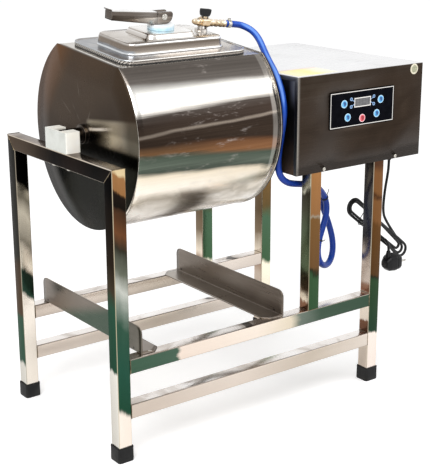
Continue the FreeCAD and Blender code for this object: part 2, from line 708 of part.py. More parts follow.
def cut_circle(sketch, radius, flat):
    """A circle round the sketch's centre with a flat across its top."""
    lean = math.asin(plain(flat) / plain(radius))
    ring = Part.Circle(Vector(), Vector(0, 0, 1), plain(radius))
    half = plain(radius) * math.cos(lean)
    arc = sketch.addGeometry(Part.ArcOfCircle(ring, math.pi - lean, 2 * math.pi + lean))
    chord = sketch.addGeometry(Part.LineSegment(Vector(half, plain(flat), 0), Vector(-half, plain(flat), 0)))
    hold(sketch, arc, 3, 0, 0)
    sketch.addConstraint(Sketcher.Constraint("Coincident", arc, 2, chord, 1))
    sketch.addConstraint(Sketcher.Constraint("Coincident", chord, 2, arc, 1))
    sketch.addConstraint(Sketcher.Constraint("Horizontal", chord))
    dimension(sketch, "Radius", (arc,), radius)
    dimension(sketch, "DistanceY", (-1, 1, chord, 1), flat)


shell = new_body("drum_shell")
shell_section = sketch_on(shell, "YZ_Plane", (0, 0, disc_wall))
cut_circle(shell_section, drum_radius, drum_flat)
cut_circle(shell_section, drum_radius - drum_wall, drum_flat - drum_wall)
pad(shell, shell_section, drum_length - 2 * disc_wall)
mouth = sketch_on(shell, "XY_Plane", (lid_place, 0, drum_flat + PAST))
rounded(mouth, mouth_length, mouth_width, mouth_corner)
pocket(shell, mouth, PAST + 2 * drum_wall)
in_drum(kept(shell, "drum_shell"))

for label, start in (("left_end_disc", Size("0", 0.0)), ("right_end_disc", drum_length - disc_wall)):
    disc = new_body(label)
    disc_section = sketch_on(disc, "YZ_Plane", (0, 0, start))
    cut_circle(disc_section, drum_radius + disc_lip, drum_flat + disc_lip)
    pad(disc, disc_section, disc_wall)
    in_drum(kept(disc, label))

journal = new_body("drum_journal")
journal_profile = sketch_on(journal, "XZ_Plane")
journal_tip = journal_end - drum_place
break_edge = 2.0
outline(journal_profile, [(0, 0), (0, hub_radius), (break_edge - hub_height, hub_radius),
                          (-hub_height, hub_radius - break_edge), (-hub_height, journal_radius),
                          (journal_tip + break_edge, journal_radius),
                          (journal_tip, journal_radius - break_edge), (journal_tip, 0)])
revolve(journal, journal_profile)
in_drum(kept(journal, "drum_journal"))

coupling = new_body("drum_coupling")
coupling_face = sketch_on(coupling, "YZ_Plane", (0, 0, drum_length))
circle(coupling_face, coupling_radius)
pad(coupling, coupling_face, coupling_height)
slot_face = sketch_on(coupling, "YZ_Plane", (0, 0, drum_length + coupling_height))
rectangle(slot_face, tongue_width + 2 * fit, 2 * coupling_radius + PAST)
pocket(coupling, slot_face, tongue_height + seat)
in_drum(kept(coupling, "drum_coupling"))

shaft = new_body("drive_shaft")
flange_place = drum_length + coupling_height + seat
flange_face = sketch_on(shaft, "YZ_Plane", (0, 0, flange_place))
circle(flange_face, coupling_radius)
pad(shaft, flange_face, flange_height)
tongue_face = sketch_on(shaft, "YZ_Plane", (0, 0, flange_place))
rectangle(tongue_face, tongue_width, 2 * coupling_radius * 0.94)
pad(shaft, tongue_face, tongue_height, backward=True)
shaft_face = sketch_on(shaft, "YZ_Plane", (0, 0, flange_place + flange_height))
circle(shaft_face, shaft_radius)
gearbox_place = box_place + 2 * box_sheet + seat / 6
shaft_end = gearbox_place + shaft_reach - drum_place
pad(shaft, shaft_face, shaft_end - flange_place - flange_height)
in_drum(kept(shaft, "drive_shaft"))

paddles = []
inner_radius = drum_radius - drum_wall
foot_drop = plain(inner_radius) - math.sqrt(plain(inner_radius) ** 2 - (plain(paddle_foot) / 2) ** 2)
paddle_root = inner_radius - foot_drop - seat
paddle_sheet = drum_wall
for angle in (0, 120, 240):
    paddle = new_body("paddle_%d" % (len(paddles) + 1))
    fold = sketch_on(paddle, "YZ_Plane", (0, 0, disc_wall + paddle_margin))
    half_foot = paddle_foot / 2
    outline(fold, [(-half_foot, -paddle_root), (paddle_sheet - half_foot, -paddle_root),
                   (0, paddle_height - paddle_root - 2 * paddle_sheet),
                   (half_foot - paddle_sheet, -paddle_root), (half_foot, -paddle_root),
                   (paddle_sheet, paddle_height - paddle_root), (-paddle_sheet, paddle_height - paddle_root)])
    pad(paddle, fold, drum_length - 2 * disc_wall - 2 * paddle_margin)
    paddle.Placement = Placement(Vector(), Rotation(Vector(1, 0, 0), angle))
    paddles.append(paddle)
in_drum(kept(group("paddle_set", paddles), "drum_paddles"))


# Lid: gasket, drawn pan with a stepped top, washer, stem, clamp bar, cam lever

gasket = new_body("lid_gasket")
ring = sketch_on(gasket, "XY_Plane", (lid_place, 0, drum_flat))
rounded(ring, gasket_length, gasket_width, gasket_corner)
rounded(ring, gasket_length - 2 * gasket_rim, gasket_width - 2 * gasket_rim, gasket_corner * 0.5)
pad(gasket, ring, gasket_height)
in_drum(kept(gasket, "lid_gasket"))

flange_base = drum_flat + gasket_height
flange_top = flange_base + lid_sheet
step_top = flange_top + block_step_height
boss_top = step_top + boss_height
pan = new_body("lid_pan")
flange_plan = sketch_on(pan, "XY_Plane", (lid_place, 0, flange_base))
rounded(flange_plan, gasket_length, gasket_width, gasket_corner)
pad(pan, flange_plan, lid_sheet)
step_plan = sketch_on(pan, "XY_Plane", (lid_place, 0, flange_top))
rounded(step_plan, block_step_length, block_step_width, block_step_corner)
pad(pan, step_plan, block_step_height, taper=-draft)
top_height = plain(step_top)
round_edges(pan, step_edge, lambda edge: flat_at(edge, top_height))
boss_plan = sketch_on(pan, "XY_Plane", (lid_place, 0, step_top))
rounded(boss_plan, boss_length, boss_width, boss_corner)
pad(pan, boss_plan, boss_height, taper=-6 * draft)
hollow_plan = sketch_on(pan, "XY_Plane", (lid_place, 0, flange_base))
rounded(hollow_plan, block_step_length - 2 * lid_sheet, block_step_width - 2 * lid_sheet,
        block_step_corner - lid_sheet)
pocket(pan, hollow_plan, block_step_height, backward=True, taper=-draft)
boss_hollow = sketch_on(pan, "XY_Plane", (lid_place, 0, step_top - lid_sheet))
rounded(boss_hollow, boss_length - 2 * lid_sheet, boss_width - 2 * lid_sheet, boss_corner - lid_sheet)
pocket(pan, boss_hollow, boss_height, backward=True, taper=-6 * draft)
stem_hole = sketch_on(pan, "XY_Plane", (lid_place, 0, boss_top + PAST))
circle(stem_hole, stem_radius + 2 * fit)
circle(stem_hole, elbow_radius * 0.7 + fit, valve_place, 0)
pocket(pan, stem_hole, 4 * PAST)
in_drum(kept(pan, "lid_pan"))

washer = new_body("lid_washer")
washer_plan = sketch_on(washer, "XY_Plane", (lid_place, 0, boss_top))
circle(washer_plan, washer_radius)
circle(washer_plan, stem_radius + running)
pad(washer, washer_plan, washer_height)
round_edges(washer, seat * 4, lambda edge: near(edge.BoundBox.XLength, 2 * washer_radius), "Chamfer")
in_drum(kept(washer, "lid_washer"))

washer_top = boss_top + washer_height
pivot_height = washer_top + cam_low + seat
bar_top = drum_flat - drum_wall - cam_lift - seat
stem = new_body("clamp_stem")
stem_plan = sketch_on(stem, "XY_Plane", (lid_place, 0, bar_top - bar_height - stem_nut))
circle(stem_plan, stem_radius)
eye = pin_radius + lever_sheet
pad(stem, stem_plan, pivot_height + eye - bar_top + bar_height + stem_nut)
nut_plan = sketch_on(stem, "XY_Plane", (lid_place, 0, bar_top - bar_height - stem_nut))
flats = stem_radius * 1.6
tip = flats / math.cos(math.pi / 6)
outline(nut_plan, [(tip, 0), (tip / 2, flats), (-(tip / 2), flats),
                   (-tip, 0), (-(tip / 2), -flats), (tip / 2, -flats)])
pad(stem, nut_plan, stem_nut)
pin_hole = sketch_on(stem, "XZ_Plane", (lid_place, pivot_height, 0))
circle(pin_hole, pin_radius + running)
pocket(stem, pin_hole, 4 * stem_radius, both=True)
in_drum(kept(stem, "clamp_stem"))

bar = new_body("clamp_bar")
bar_plan = sketch_on(bar, "XY_Plane", (lid_place, 0, bar_top - bar_height))
rounded(bar_plan, bar_length, bar_width, bar_width * 0.4)
circle(bar_plan, stem_radius + running)
pad(bar, bar_plan, bar_height)
in_drum(kept(bar, "clamp_bar"))


def cam_curve():
    """The lever's foot: an involute, so that the stem rises evenly as the lever turns."""
    rise = plain(cam_lift) / (math.pi / 2)
    points = []
    steps = 6
    for step in range(steps + 1):
        turn = step / steps * math.pi / 2
        reach = plain(cam_low) + rise * turn
        points.append(Vector(reach * math.sin(turn) + rise * math.cos(turn), 0,
                             -reach * math.cos(turn) + rise * math.sin(turn)))
    curve = Part.BSplineCurve()
    curve.interpolate(points, False)
    return curve.toShape(), points[0], points[-1]


def cam_lever():
    """A channel of sheet whose two cheeks end in the cam, drawn round its pivot."""
    cam, cam_start, cam_end = cam_curve()
    crown = plain(lever_top) - cam_end.z
    crown_centre = Vector(cam_end.x - crown, 0, cam_end.z)
    crown_top = Vector(crown_centre.x, 0, plain(lever_top))
    halfway = crown_centre + Vector(crown * math.sqrt(0.5), 0, crown * math.sqrt(0.5))
    tail_low = Vector(-plain(lever_length), 0, -plain(lever_tail))
    tail_high = Vector(-plain(lever_length), 0, plain(lever_top))
    heel = Vector(-plain(cam_low) * 1.6, 0, -plain(cam_low))
    edges = [cam, Part.Arc(cam_end, halfway, crown_top).toShape(), Part.makeLine(crown_top, tail_high),
             Part.makeLine(tail_high, tail_low), Part.makeLine(tail_low, heel),
             Part.makeLine(heel, cam_start)]
    cheeks = Part.Face(Part.Wire(edges)).extrude(Vector(0, plain(lever_width), 0))
    cheeks.translate(Vector(0, -plain(lever_width) / 2, 0))
    inside = plain(lever_width) - 2 * plain(lever_sheet)
    long_side = 2 * plain(lever_length)
    under = Part.makeBox(long_side, inside, plain(lever_top) - plain(lever_sheet) + long_side,
                         Vector(-long_side + 60, -inside / 2, -long_side))
    behind = Part.makeBox(60, inside, long_side, Vector(-plain(lever_slot), -inside / 2, -long_side / 2))
    bore = Part.makeCylinder(plain(pin_radius + running), 2 * plain(lever_width),
                             Vector(0, -plain(lever_width), 0), Vector(0, 1, 0))
    lever = cheeks.cut(under).cut(behind).cut(bore)
    rise = math.radians(25)
    out = Vector(-math.cos(rise), 0, math.sin(rise)) * plain(lever_lip)
    sheet_down = Vector(0, 0, -plain(lever_sheet))
    bend = tail_high + sheet_down
    root = tail_high + Vector(plain(lever_sheet), 0, 0)
    side = [root, tail_high, tail_high + out, tail_high + out + sheet_down, bend, root + sheet_down, root]
    lip = Part.Face(Part.makePolygon(side)).extrude(Vector(0, plain(lever_width), 0))
    lip.translate(Vector(0, -plain(lever_width) / 2, 0))
    return lever.fuse(lip).removeSplitter()


lever = doc.addObject("Part::Feature", "cam_lever")
lever.Shape = cam_lever()
TILT = Rotation(Vector(1, 0, 0), plain(drum_turn))


def drum_point(along, across, up):
    """A point given along the drum's own axes, in the machine's frame."""
    local = TILT.multVec(Vector(plain(along), plain(across), plain(up)))
    return local + Vector(plain(frame_left + drum_place), plain(axis_y), plain(axis_height))


lever.Placement = Placement(drum_point(lid_place, 0, pivot_height), TILT)
kept(lever, "cam_lever")

pin_half = lever_width / 2 + fit
pin_profile = [(-pin_half - pin_head_height, 0), (-pin_half - pin_head_height, pin_head * 0.7),
               (-pin_half - pin_head_height / 2, pin_head), (-pin_half, pin_head),
               (-pin_half, pin_radius), (pin_half, pin_radius), (pin_half, pin_head),
               (pin_half + pin_head_height / 2, pin_head),
               (pin_half + pin_head_height, pin_head * 0.7), (pin_half + pin_head_height, 0)]
pin = new_body("lever_pin")
pin_sketch = sketch_on(pin, "XY_Plane")
outline(pin_sketch, pin_profile)
revolve(pin, pin_sketch)
pin.Placement = Placement(drum_point(lid_place, 0, pivot_height), TILT * Rotation(Vector(0, 0, 1), 90))
kept(pin, "lever_pin")


# Valve on the lid: elbow, ball valve with a butterfly handle, barb, hose end and clamp

VALVE = TILT * Rotation(Vector(0, 1, 0), plain(valve_tilt))
valve_x = lid_place + valve_place
valve_w = step_top + valve_height


def on_valve(obj, label):
    """Carries a piece drawn along the valve's own axis to its place on the lid."""
    obj.Placement = Placement(drum_point(valve_x, 0, valve_w), VALVE)
    return kept(obj, label)


knee = doc.addObject("Part::Sphere", "elbow_knee")
bind(knee, "Radius", elbow_radius + 1)
riser_length = valve_height + 3 * lid_sheet
riser = cylinder("elbow_riser", elbow_radius * 0.7, riser_length, (0, 0, -riser_length))
collar = hexagon("elbow_collar", elbow_radius, valve_height * 0.4, (0, 0, -valve_height))
for piece in (riser, collar):
    base = Vector(0, 0, -plain(riser_length if piece is riser else valve_height))
    back = Rotation(Vector(0, 1, 0), -plain(valve_tilt))
    for letter in "xyz":
        piece.setExpression("Placement.Base." + letter, None)
    piece.Placement = Placement(back.multVec(base), back * piece.Placement.Rotation)
outlet = cylinder("elbow_outlet", elbow_radius, elbow_reach, (0, 0, 0), "X")
on_valve(fused("vacuum_elbow", [knee, riser, collar, outlet]), "vacuum_elbow")

ball_place = elbow_reach + valve_length / 2
ends = cylinder("valve_ends", valve_radius, valve_length, (elbow_reach, 0, 0), "X")
middle = hexagon("valve_middle", valve_flats, valve_length * 0.6,
                 (elbow_reach + valve_length * 0.2, 0, 0), "X")
neck_top = valve_flats + 4
neck = cylinder("valve_neck", spindle_radius + 2.5, neck_top, (ball_place, 0, 0))
cavity = doc.addObject("Part::Sphere", "valve_cavity")
bind(cavity, "Radius", ball_radius + running)
at(cavity, ball_place, 0, 0)
way = cylinder("valve_way", ball_bore, valve_length + 2, (elbow_reach - 1, 0, 0), "X")
spindle_way = cylinder("spindle_way", spindle_radius + running, neck_top + 1, (ball_place, 0, 0))
on_valve(cut("valve_body", fused("valve_casting", [ends, middle, neck]), [cavity, way, spindle_way]),
         "valve_body")

ball = doc.addObject("Part::Sphere", "ball_round")
bind(ball, "Radius", ball_radius)
at(ball, ball_place, 0, 0)
handle_base = neck_top + handle_gap
spindle = cylinder("ball_spindle", spindle_radius, handle_base + handle_height / 2, (ball_place, 0, 0))
ball_way = cylinder("ball_way", ball_bore, 4 * ball_radius, (ball_place - 2 * ball_radius, 0, 0), "X")
on_valve(cut("valve_ball", fused("ball_and_spindle", [ball, spindle]), [ball_way]), "valve_ball")

wings = []
for side in (-1, 1):
    wing_x = ball_place + side * handle_length / 4 - handle_length / 4
    wings.append(box("wing", (handle_length / 2, handle_thick, handle_height),
                     (wing_x, -(handle_thick / 2), handle_base)))
grip = fused("handle_wings", wings)
waists = []
for side in (-1, 1):
    waists.append(cylinder("handle_waist", handle_thick * 0.7, handle_height * 0.62,
                           (ball_place, side * handle_thick * 0.95, handle_base + handle_height * 0.4)))
bored = cylinder("handle_bore", spindle_radius + fit, handle_height / 2 + fit,
                 (ball_place, 0, handle_base - fit))
on_valve(cut("valve_handle", grip, waists + [bored]), "valve_handle")

barb = new_body("hose_barb")
barb_profile = sketch_on(barb, "XY_Plane")
barb_start = elbow_reach + valve_length
sleeve_start = barb_end - sleeve_length
step = (sleeve_start - barb_start) / 6
thin = barb_collar * 0.7
outline(barb_profile, [(barb_start, 0), (barb_start, barb_collar), (barb_start + step, barb_collar),
                       (barb_start + 1.4 * step, thin), (barb_start + 2 * step, thin),
                       (barb_start + 2.4 * step, barb_collar), (barb_start + 3.2 * step, barb_collar),
                       (barb_start + 3.6 * step, thin), (barb_start + 4.4 * step, thin),
                       (barb_start + 4.8 * step, barb_collar), (barb_start + 5.6 * step, barb_collar),
                       (sleeve_start, barb_radius), (barb_end, barb_radius), (barb_end, 0)])
revolve(barb, barb_profile)
on_valve(barb, "hose_barb")

sleeve = cut("hose_end", cylinder("hose_end_outer", hose_radius, sleeve_length, (sleeve_start, 0, 0), "X"),
             [cylinder("hose_end_inner", barb_radius, sleeve_length + 2, (sleeve_start - 1, 0, 0), "X")])
on_valve(sleeve, "hose_end")

clamp_start = barb_end - 1.5 * clamp_length
band = cylinder("clamp_band", hose_radius + clamp_band, clamp_length, (clamp_start, 0, 0), "X")
ear = box("clamp_ear", (clamp_length * 0.8, 3 * clamp_band, 3.5 * clamp_band),
          (clamp_start + clamp_length * 0.1, -1.5 * clamp_band, hose_radius + clamp_band / 2))
clamp_hole = cylinder("clamp_hole", hose_radius, clamp_length + 2, (clamp_start - 1, 0, 0), "X")
on_valve(cut("hose_clamp", fused("clamp_round", [band, ear]), [clamp_hole]), "hose_clamp")


# Control box: folded chassis on the frame, cover over it, screws, panel and keys

box_left = frame_left + box_place
box_right = box_left + box_length
box_face = frame_front + box_front
box_depth = frame_depth + box_overhang - box_front
box_back = box_face + box_depth
box_top = box_floor + box_height
inner_x = box_left + box_sheet
inner_length = box_length - 2 * box_sheet

casing = box("cover_outer", (box_length, box_depth, box_height), (box_left, box_face, box_floor))
room = box("cover_room", (inner_length, box_depth - 2 * box_sheet, box_height),
           (inner_x, box_face + box_sheet, box_floor - box_sheet))
side_room = box("cover_sides", (box_length + 2 * PAST, box_depth - 2 * box_wrap, box_height - box_wrap + PAST),
                (box_left - PAST, box_face + box_wrap, box_floor - PAST))
panel_window = box("cover_window", (window_length, 2 * PAST, window_height),
                   (frame_left + panel_place - window_length / 2, box_face - PAST,
                    panel_height_place - window_height / 2))
cover_cuts = [room, side_room, panel_window]
screw_level = box_floor + cover_screw_height
screw_x = (frame_left + cover_screw_left, frame_left + cover_screw_right)
for place in screw_x:
    cover_cuts.append(cylinder("cover_hole", screw_radius + fit, box_depth + 2 * PAST,
                               (place, box_face - PAST, screw_level), "Y"))
kept(cut("box_cover", casing, cover_cuts), "box_cover")

shelf_x = inner_x + seat / 6
shelf_length = inner_length - seat / 3
shelf_y = box_face + box_sheet + seat / 6
shelf_depth = box_depth - 2 * box_sheet - seat / 3
side_height = box_height - box_sheet - seat
chassis_floor = box("chassis_floor", (shelf_length, shelf_depth, box_sheet), (shelf_x, shelf_y, box_floor))
chassis_parts = [chassis_floor]
for offset in (0, shelf_length - box_sheet):
    chassis_parts.append(box("chassis_side", (box_sheet, shelf_depth, side_height),
                             (shelf_x + offset, shelf_y, box_floor)))
for offset in (0, shelf_depth - box_sheet):
    chassis_parts.append(box("chassis_lip", (shelf_length, box_sheet, box_lip),
                             (shelf_x, shelf_y + offset, box_floor)))
chassis_cuts = [cylinder("shaft_hole", shaft_radius * 1.5, 2 * PAST, (box_left - PAST, axis_y, axis_height), "X")]
for place in screw_x:
    chassis_cuts.append(cylinder("lip_hole", screw_radius + fit, box_depth + 2 * PAST,
                                 (place, box_face - PAST, screw_level), "Y"))
vent_count = 7
vent_width = 4.0
for index in range(vent_count):
    chassis_cuts.append(box("vent", (4 * box_sheet, box_depth * 0.3, vent_width),
                            (box_left + box_length - 3 * box_sheet, axis_y - box_depth * 0.15,
                             box_floor + box_height * 0.45 + index * 3 * vent_width)))
fitting_x = box_left + fitting_place
fitting_y = box_face + fitting_back
gland_x = box_right - gland_place
gland_y = box_face + gland_back
fitting_thread = hose_radius + 1
gland_thread = cord_radius * 2.2
for name, radius, x, y in (("fitting_hole", fitting_thread, fitting_x, fitting_y),
                           ("gland_hole", gland_thread, gland_x, gland_y)):
    chassis_cuts.append(cylinder(name, radius + fit, 2 * PAST, (x, y, box_floor - PAST)))
kept(cut("box_chassis", fused("chassis_sheet", chassis_parts), chassis_cuts), "box_chassis")


def pan_screw(name, radius, head, head_height, shank, start, toward):
    """A screw along Y with a round head; start is the plane under its head."""
    body = new_body(name)
    profile = sketch_on(body, "XY_Plane")
    outline(profile, [(-head_height, 0), (-head_height, head * 0.6), (-head_height / 2, head),
                      (0, head), (0, radius), (shank, radius), (shank, 0)])
    revolve(body, profile)
    body.Placement = Placement(Vector(), Rotation(Vector(0, 0, 1), 90 * toward))
    return at(body, *start)


cover_screws = []
for place in screw_x:
    for spot_y, toward in ((box_face, 1), (box_back, -1)):
        name = "cover_screw_%d" % len(cover_screws)
        cover_screws.append(pan_screw(name, screw_radius, screw_head, screw_head_height, 6 * box_sheet,
                                      (place, spot_y, screw_level), toward))
kept(group("cover_fixings", cover_screws), "cover_screws")

panel_x = frame_left + panel_place
panel_y = box_face - panel_sheet
key_places = [("upper_left", -upper_key, upper_key_height), ("upper_right", upper_key, upper_key_height),
              ("lower_left", -lower_key, lower_key_height), ("lower_right", lower_key, lower_key_height),
              ("middle", Size("0", 0.0), middle_key_height)]
light_places = [(side * light_place, height) for side in (-1, 1) for height in (light_upper, light_lower)]

panel = new_body("key_panel")
panel_face = sketch_on(panel, "XZ_Plane")
rounded(panel_face, panel_length, panel_height, panel_corner)
pad(panel, panel_face, panel_sheet)
panel_holes = sketch_on(panel, "XZ_Plane")
for name, x, z in key_places:
    circle(panel_holes, key_radius + seat, x, z)
for x, z in light_places:
    circle(panel_holes, light_radius + fit, x, z)
pocket(panel, panel_holes, 4 * panel_sheet, both=True)
display_hole = sketch_on(panel, "XZ_Plane", (0, display_place, 0))
rectangle(display_hole, display_length + 2 * fit, display_height + 2 * fit)
pocket(panel, display_hole, 4 * panel_sheet, both=True)
at(kept(panel, "key_panel"), panel_x, box_face, panel_height_place)

window = new_body("display_window")
window_face = sketch_on(window, "XZ_Plane", (0, display_place, 0))
rectangle(window_face, display_length, display_height)
pad(window, window_face, panel_sheet)
at(kept(window, "display_window"), panel_x, box_face, panel_height_place)

for name, x, z in key_places:
    key = new_body("key_" + name)
    collar_back = seat / 6
    cap = sketch_on(key, "XZ_Plane")
    circle(cap, key_radius)
    pad(key, cap, panel_sheet + key_proud)
    flange = sketch_on(key, "XZ_Plane")
    circle(flange, key_radius)
    pad(key, flange, panel_sheet, backward=True)
    ring_face = sketch_on(key, "XZ_Plane", (0, 0, -collar_back))
    circle(ring_face, key_collar)
    pad(key, ring_face, panel_sheet * 0.7, backward=True)
    round_edges(key, key_proud * 0.6, lambda edge: near(edge.BoundBox.YMin, -(panel_sheet + key_proud))
                and edge.BoundBox.YLength < 1e-3, "Fillet")
    at(kept(key, "key_" + name), panel_x + x, box_face, panel_height_place + z)

board_y = box_face + board_gap
board_parts = [box("board_sheet", (panel_length - 2, board_sheet, panel_height - 2),
                   (panel_x - (panel_length - 2) / 2, board_y, panel_height_place - (panel_height - 2) / 2))]
for name, x, z in key_places:
    button_start = panel_sheet + key_travel + seat / 2
    board_parts.append(cylinder("switch", key_radius * 0.4, board_gap - button_start + board_sheet / 2,
                                (panel_x + x, box_face + button_start, panel_height_place + z), "Y"))
for side_x in (-1, 1):
    for side_z in (-1, 1):
        post_x = panel_x + side_x * (window_length + 5) / 2
        post_z = panel_height_place + side_z * (window_height + 5) / 2
        board_parts.append(cylinder("standoff", screw_radius * 0.6, board_gap - box_sheet + board_sheet / 2,
                                    (post_x, box_face + box_sheet, post_z), "Y"))
board_parts.append(box("display_module", (display_length, board_gap - seat + board_sheet / 2, display_height),
                       (panel_x - display_length / 2, box_face + seat,
                        panel_height_place + display_place - display_height / 2)))
kept(fused("control_board", board_parts), "control_board")

lights = []
for x, z in light_places:
    lights.append(cylinder("light", light_radius, board_gap + panel_sheet + seat,
                           (panel_x + x, panel_y - seat, panel_height_place + z), "Y"))
kept(group("lights", lights), "indicator_lights")


# Drive and vacuum pump inside the box

gear_left = frame_left + gearbox_place
gear_case = box("gear_case", (gearbox_length, gearbox_side, gearbox_side),
                (gear_left, axis_y - gearbox_side / 2, axis_height - gearbox_side / 2))
gear_flange = box("gear_flange", (gearbox_flange, gearbox_side * 1.3, gearbox_side * 1.3),
                  (gear_left, axis_y - gearbox_side * 0.65, axis_height - gearbox_side * 0.65))
motor_left = gear_left + gearbox_length
motor_can = cylinder("motor_can", motor_radius, motor_length, (motor_left, axis_y, axis_height), "X")
motor_cap = cylinder("motor_cap", motor_radius * 0.9, motor_length * 0.14,
                     (motor_left + motor_length, axis_y, axis_height), "X")
terminal_box = box("terminal_box", (motor_length * 0.45, motor_radius, motor_radius * 0.5),
                   (motor_left + motor_length * 0.25, axis_y - motor_radius / 2,
                    axis_height + motor_radius * 0.8))
gear_bore = cylinder("gear_bore", shaft_radius + running, shaft_reach + 2,
                     (gear_left - 1, axis_y, axis_height), "X")
kept(cut("gear_motor", fused("gear_and_motor", [gear_case, gear_flange, motor_can, motor_cap, terminal_box]),
         [gear_bore]), "gear_motor")

deck = box_floor + box_sheet
pump_x = box_right - pump_place
pump_y = box_back - pump_back
pump_base = deck + pump_foot
pump_parts = [box("pump_case", (pump_length * 0.6, pump_depth, pump_height), (pump_x, pump_y, pump_base)),
              cylinder("pump_motor", pump_depth * 0.42, pump_length * 0.4 + 1,
                       (pump_x + pump_length * 0.6 - 1, pump_y + pump_depth / 2, pump_base + pump_depth / 2), "X")]
for step_x in (0.1, 0.5):
    for step_y in (0.15, 0.85):
        pump_parts.append(cylinder("pump_rubber", pump_foot, pump_foot + 1,
                                   (pump_x + pump_length * step_x, pump_y + pump_depth * step_y, deck)))
inlet_length = 16.0
inlet_x = pump_x + pump_length * 0.15
inlet_y = pump_y + pump_depth * 0.3
inlet_top = pump_base + pump_height + inlet_length
pump_parts.append(cylinder("pump_inlet", barb_radius, inlet_length + 1,
                           (inlet_x, inlet_y, pump_base + pump_height - 1)))
kept(fused("vacuum_pump", pump_parts), "vacuum_pump")

# Hose fitting and cord gland under the box

fitting = new_body("hose_fitting")
fitting_profile = sketch_on(fitting, "XY_Plane")
nipple = 14.0
shoulder = 6.0
outline(fitting_profile, [(-fitting_drop, 0), (-fitting_drop, barb_radius), (-shoulder, barb_radius),
                          (-shoulder, hose_radius + 4), (0, hose_radius + 4), (0, fitting_thread),
                          (box_sheet + shoulder, fitting_thread), (box_sheet + shoulder, barb_radius),
                          (box_sheet + shoulder + nipple, barb_radius), (box_sheet + shoulder + nipple, 0)])
revolve(fitting, fitting_profile)
fitting.Placement = Placement(Vector(), Rotation(Vector(0, 1, 0), -90))
at(kept(fitting, "hose_fitting"), fitting_x, fitting_y, box_floor)

gland = new_body("cord_gland")
gland_profile = sketch_on(gland, "XY_Plane")
gland_wide = gland_thread * 1.45
outline(gland_profile, [(-gland_drop, cord_radius), (-gland_drop, cord_radius * 1.6),
                        (-gland_drop * 0.6, gland_wide * 0.9), (-gland_drop * 0.3, gland_wide * 0.9),
                        (-gland_drop * 0.3, gland_wide), (0, gland_wide), (0, gland_thread),
                        (box_sheet + nipple, gland_thread), (box_sheet + nipple, cord_radius)])
revolve(gland, gland_profile)
gland.Placement = Placement(Vector(), Rotation(Vector(0, 1, 0), -90))
at(kept(gland, "cord_gland"), gland_x, gland_y, box_floor)


# Hose, power cord and plug

def cord_path(points):
    """Straight runs through the points, joined by arcs as large as the runs allow."""
    pieces = []
    here = points[0]
    radii = []
    for index in range(1, len(points) - 1):
        before = points[index - 1]
        corner = points[index]
        after = points[index + 1]
        run_in = corner - before
        run_out = after - corner
        turn = run_in.getAngle(run_out)
        shorter = min(run_in.Length, run_out.Length)
        trim = 0.45 * shorter
        radius = trim / math.tan(turn / 2)
        radii.append(round(radius))
        start = corner - Vector(run_in).normalize() * trim
        finish = corner + Vector(run_out).normalize() * trim
        bisector = (Vector(run_out).normalize() - Vector(run_in).normalize()).normalize()
        middle = corner + bisector * (radius / math.cos(turn / 2) - radius)
        pieces.append(Part.makeLine(here, start))
        pieces.append(Part.Arc(start, middle, finish).toShape())
        here = finish
    pieces.append(Part.makeLine(here, points[-1]))
    return Part.Wire(pieces), radii


def cord_tube(label, points, radius):
    """A round cord along its route, with its volume checked against its length."""
    path, radii = cord_path(points)
    start = points[0]
    heading = points[1] - points[0]
    section = Part.Wire(Part.makeCircle(plain(radius), start, heading))
    tube_solid = path.makePipeShell([section], True, False)
    length = sum(edge.Length for edge in path.Edges)
    expected = math.pi * plain(radius) ** 2 * length
    print("%s: length %.0f, volume ratio %.4f, arcs %s"
          % (label, length, tube_solid.Volume / expected, radii))
    piece = doc.addObject("Part::Feature", label)
    piece.Shape = tube_solid
    return kept(piece, label)


def box_point(x, y, z):
    """A point given from the control box's left side, front and underside."""
    return Vector(plain(box_left) + x, plain(box_face) + y, plain(box_floor) + z)


mouth_axis = VALVE.multVec(Vector(1, 0, 0))
hose_mouth = drum_point(valve_x, 0, valve_w) + mouth_axis * plain(barb_end + seat)
fitting_tip = Vector(plain(fitting_x), plain(fitting_y), plain(box_floor - fitting_drop))
HOSE_ROUTE = [
    (0, 198, 310), (10, 191, 305), (16, 180, 299), (18, 166, 290), (15, 148, 278), (7, 125, 262),
    (-3, 96, 243), (-11, 61, 219), (-13, 37, 183), (-13, 28, 141), (-14, 34, 96), (-14, 44, 51),
    (-13, 48, 16), (-5, 48, -9), (14, 48, -25), (40, 49, -32), (75, 53, -38), (112, 65, -50),
    (142, 77, -68), (165, 88, -90), (177, 93, -116), (174, 93, -142), (160, 89, -167), (145, 84, -194),
    (140, 81, -220), (147, 82, -244), (165, 88, -259), (186, 96, -263), (205, 105, -255),
    (216, 111, -238), (218, 114, -215), (210, 114, -184), (194, 114, -146), (178, 116, -108),
    (166, 116, -74)]
hose_points = [hose_mouth, hose_mouth + mouth_axis * 12]
hose_points += [box_point(*point) for point in HOSE_ROUTE]
hose_points += [fitting_tip - Vector(0, 0, 21), fitting_tip]
cord_tube("vacuum_hose", hose_points, hose_radius)

nipple_tip = Vector(plain(fitting_x), plain(fitting_y), plain(box_floor + box_sheet) + shoulder + nipple)
inlet_tip = Vector(plain(inlet_x), plain(inlet_y), plain(inlet_top))
rise = Vector(0, 0, 22)
PUMP_ROUTE = [(0.01, 4, -50), (0.06, 16, -18), (0.155, 37, 11), (0.3, 55, 34), (0.48, 57, 52),
              (0.67, 43, 62), (0.845, 21, 60), (0.967, 5, 45)]
level_way = Vector(inlet_tip.x - nipple_tip.x, inlet_tip.y - nipple_tip.y, 0)
pump_points = [nipple_tip, nipple_tip + rise]
for share, aside, up in PUMP_ROUTE:
    pump_points.append(inlet_tip + level_way * (share - 1) + Vector(aside, 0, up))
pump_points += [inlet_tip + rise, inlet_tip]
cord_tube("pump_hose", pump_points, hose_radius * 0.8)

